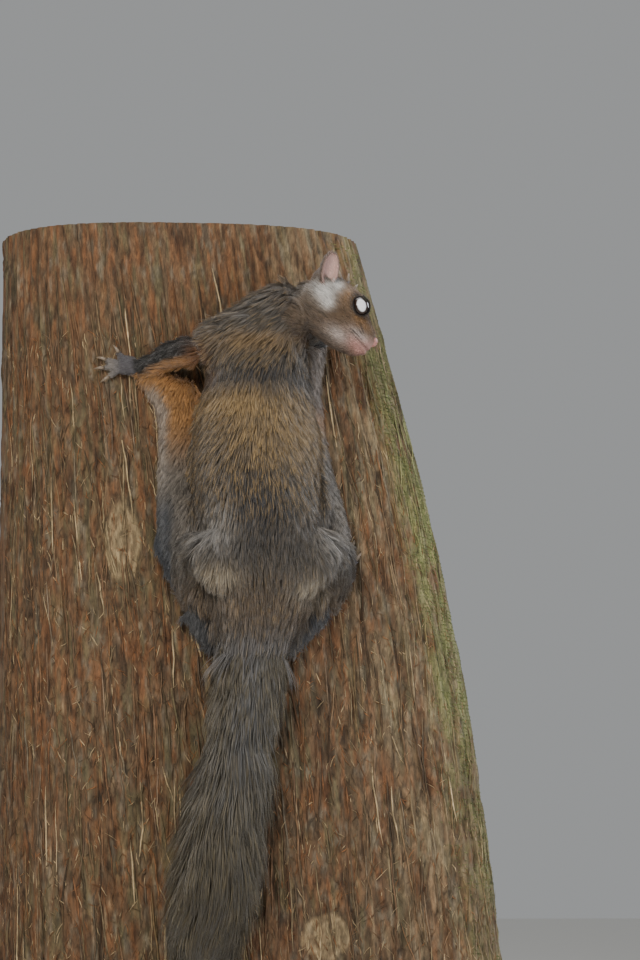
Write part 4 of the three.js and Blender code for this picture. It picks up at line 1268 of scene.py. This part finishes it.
def makeLooseBark(grid, normals, shades):
    # Strips of bark that have split off at one end, and small flecks lying on them
    material = bpy.data.materials["cedarBarkWeathered"]
    random = np.random.default_rng(77)
    rows, columns, _ = grid.shape
    for name, values in looseBark.items():
        count = values["count"]
        row = random.integers(6, rows - 30, count)
        column = random.integers(14, columns - 14, count)
        span = random.integers(*values["rows"], count)
        up = random.random(count) < 0.4
        share = np.linspace(0, 1, values["stations"])
        place = row[:, None] + span[:, None] * share[None]
        low = np.clip(np.floor(place).astype(int), 0, rows - 2)
        part = (place - low)[..., None]
        drift = column[:, None] + np.round(random.normal(0, 2.2, count)[:, None] * share).astype(int)
        paths = grid[low, drift] * (1 - part) + grid[low + 1, drift] * part
        away = unit(normals[row, column])
        free = np.where(up[:, None], share[None] ** 2, (1 - share[None]) ** 2)
        reach = random.uniform(*values["lift"], count)
        paths = paths + away[:, None] * (stripThickness + free * reach[:, None])[..., None]
        tone = random.random((count, 1))
        colours = shades[row, column] * (0.8 + 0.9 * tone)
        straw = (random.random(count) < values["straw"])[:, None]
        colours = np.where(straw, barkHues["straw"] * (0.45 + 0.75 * tone), colours)
        rust = (random.random(count) < values["rust"])[:, None]
        colours = np.where(rust, barkHues["rust"] * (0.5 + 0.7 * tone), colours)
        paths = np.where(up[:, None, None], paths, paths[:, ::-1])
        widths = random.uniform(*values["width"], count)
        ribbonPiece(name, away, paths, widths, stripThickness, colours, material)


def makeMoss(grid, normals):
    # Moss: tiny living shoots, matt and paler at their tips, so the patches look soft
    material, tree = newMaterial("mossShootsMatt")
    colour = addNode(tree, "VertexColor", {"layer_name": "coatColour"})
    shader = addNode(tree, "BsdfPrincipled", {"Roughness": 0.85, "IOR": 1.45},
                     {"Base Color": (colour, 0)})
    finishMaterial(tree, shader)
    random = np.random.default_rng(91)
    rows, columns, _ = grid.shape
    row = random.integers(2, rows - 3, moss["shoots"] * 5)
    column = random.integers(columns // 2, columns - 6, moss["shoots"] * 5)
    keep = random.random(len(row)) < mossShare(grid[row, column]) * moss["share"]
    row, column = row[keep][:moss["shoots"]], column[keep][:moss["shoots"]]
    places = grid[row, column]
    count = len(row)
    away = unit(normals[row, column] + random.normal(0, moss["splay"], (count, 3)))
    length = random.uniform(*moss["length"], count)[:, None]
    tips = places + away * length + np.array([0, 0, -moss["droop"]]) * length
    across = unit(np.cross(away, random.normal(0, 1, (count, 3))))
    over = np.cross(away, across)
    roots = [places - away * moss["sunk"] + across * a + over * b
             for a, b in ((0.5, 0), (-0.25, 0.43), (-0.25, -0.43))]
    points = np.stack(roots + [tips], axis=1)
    faces = repeatedFaces([(0, 1, 3), (1, 2, 3), (2, 0, 3), (0, 2, 1)], count, 4)
    tone = random.random((count, 1))
    base = barkHues["mossDark"] * (1 - tone) + barkHues["moss"] * 1.15 * tone
    colours = np.stack([base * moss["shade"]] * 3 + [base], axis=1).reshape(-1, 3)
    piece = meshPiece("mossShoots", points.reshape(-1, 3) * mm, faces, material, colours=colours)
    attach(piece, "root")


sawnTimber = {
    "rings": ((0.35, "#a98561"), (0.5, "#c9a67d"), (0.65, "#d2b48e")), "ringWidth": 4.76, "wander": 143,
    "grainSize": (1.111, 1.111, 40), "sawMarks": (83, 83, 2.38),
}


def makeSawnFaces(moved):
    # Sawn timber: pale and dry, uneven growth rings 4 to 9 mm apart with the pith behind the back,
    # and faint saw marks across, so that light breaks on it softly
    material, tree = newMaterial("cedarTimberSawn")
    place = addNode(tree, "TexCoord")
    wander = addNode(tree, "TexNoise", {"Scale": patternScale(sawnTimber["wander"]), "Detail": 2.0},
                     {"Vector": (place, "Object")})
    bent = addNode(tree, "VectorMath", {"operation": "MULTIPLY_ADD", 1: (0.05, 0.05, 0.0)},
                   {0: (wander, 1), 2: (place, "Object")})
    pith = addNode(tree, "Mapping", {"Location": (0.045, -0.16, 0.0), "Scale": (1.0, 1.0, 0.0)},
                   {"Vector": (bent, 0)})
    distance = addNode(tree, "VectorMath", {"operation": "LENGTH"}, {0: (pith, 0)})
    fromPith = addNode(tree, "CombineXYZ", {}, {0: (distance, 1)})
    rings = addNode(tree, "TexNoise", {"Scale": patternScale(sawnTimber["ringWidth"]), "Detail": 2.0},
                    {"Vector": (fromPith, 0)})
    ramp = addNode(tree, "ValToRGB", links={"Fac": (rings, 0)})
    rampColours(ramp, [(position, rgba(colour)) for position, colour in sawnTimber["rings"]])
    along = addNode(tree, "Mapping", {"Scale": patternScale(sawnTimber["grainSize"])},
                    {"Vector": (place, "Object")})
    grain = addNode(tree, "TexNoise", {"Scale": 1.0, "Detail": 3.0}, {"Vector": (along, 0)})
    marks = addNode(tree, "Mapping", {"Scale": patternScale(sawnTimber["sawMarks"])},
                    {"Vector": (place, "Object")})
    saw = addNode(tree, "TexNoise", {"Scale": 1.0, "Detail": 1.0}, {"Vector": (marks, 0)})
    heights = addNode(tree, "Math", {"operation": "ADD"}, {0: (grain, 0), 1: (saw, 0)})
    raised = addNode(tree, "Bump", {"Strength": 0.35, "Distance": 0.0006}, {"Height": (heights, 0)})
    shader = addNode(tree, "BsdfPrincipled", {"Roughness": 0.78, "IOR": 1.5},
                     {"Base Color": (ramp, 0), "Normal": (raised, 0)})
    finishMaterial(tree, shader)
    rows, columns, _ = moved.shape
    points, faces = [], []
    for row, turned in ((0, False), (rows - 1, True)):
        first = len(points)
        points += [tuple(p) for p in moved[row]]
        face = list(range(first, first + columns))
        faces.append(tuple(face if turned else face[::-1]))
    first = len(points)
    for row in range(rows):
        points += [tuple(moved[row, 0]), tuple(moved[row, -1])]
    for row in range(rows - 1):
        a = first + row * 2
        faces.append((a, a + 1, a + 3, a + 2))
    piece = meshPiece("sawnTimber", np.array(points) * mm, faces, material, smooth=False)
    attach(piece, "root")


barkGrid, barkNormals, barkShades = makePerch()
makeSawnFaces(barkGrid)
makeLooseBark(barkGrid, barkNormals, barkShades)
makeMoss(barkGrid, barkNormals)
print("perch made")


# Stand: a painted board with eased edges and two brushed steel rods
stand = {
    "board": "#2c2a28", "steel": "#c3c6c8", "boardEase": 2.5, "rodEase": 0.5,
    "rollerStipple": 3.125, "brushMarks": (50, 50, 0.4),
}


def makeStand():
    # Board paint: satin, rolled on, so its shine is a little uneven
    board, tree = newMaterial("boardSatinPaint")
    place = addNode(tree, "TexCoord")
    fine = addNode(tree, "TexNoise", {"Scale": patternScale(stand["rollerStipple"]), "Detail": 3.0},
                   {"Vector": (place, "Object")})
    tone = addNode(tree, "MapRange", {"To Min": 0.36, "To Max": 0.5}, {"Value": (fine, 0)})
    raised = addNode(tree, "Bump", {"Strength": 0.08, "Distance": 0.0003}, {"Height": (fine, 0)})
    shader = addNode(tree, "BsdfPrincipled", {"Base Color": rgba(stand["board"]), "IOR": 1.5},
                     {"Roughness": (tone, 0), "Normal": (raised, 0)})
    finishMaterial(tree, shader)
    # Steel rod: brushed round, with marks drawn 0.4 mm apart so that they show
    steel, tree = newMaterial("steelRodBrushed")
    place = addNode(tree, "TexCoord")
    turned = addNode(tree, "Mapping", {"Scale": patternScale(stand["brushMarks"])},
                     {"Vector": (place, "Object")})
    marks = addNode(tree, "TexNoise", {"Scale": 1.0, "Detail": 2.0}, {"Vector": (turned, 0)})
    rough = addNode(tree, "MapRange", {"To Min": 0.22, "To Max": 0.38}, {"Value": (marks, 0)})
    shader = addNode(tree, "BsdfPrincipled", {"Base Color": rgba(stand["steel"]), "Metallic": 1.0},
                     {"Roughness": (rough, 0)})
    finishMaterial(tree, shader)
    for node in ("stand_base", "stand_rod_left", "stand_rod_right"):
        isBoard = node == "stand_base"
        low, high = (Vector(corner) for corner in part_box(node))
        bm = bmesh.new()
        if isBoard:
            bmesh.ops.create_cube(bm, size=1)
        else:
            bmesh.ops.create_cone(bm, cap_ends=True, segments=64, radius1=0.5, radius2=0.5, depth=1)
        bmesh.ops.scale(bm, vec=high - low, verts=bm.verts)
        bmesh.ops.translate(bm, vec=(low + high) / 2, verts=bm.verts)
        sharp = [edge for edge in bm.edges if edge.calc_face_angle(0) > 1.0]
        ease = stand["boardEase" if isBoard else "rodEase"] * mm
        bmesh.ops.bevel(bm, geom=sharp, offset=ease, segments=4, profile=0.5, affect="EDGES")
        mesh = bpy.data.meshes.new(node + "_piece")
        bm.to_mesh(mesh)
        bm.free()
        mesh.materials.append(board if isBoard else steel)
        shadeSmooth(mesh, not isBoard)
        piece = linked(node + "_piece", mesh)
        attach(piece, "root")
        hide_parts(node)


makeStand()
print("stand made")
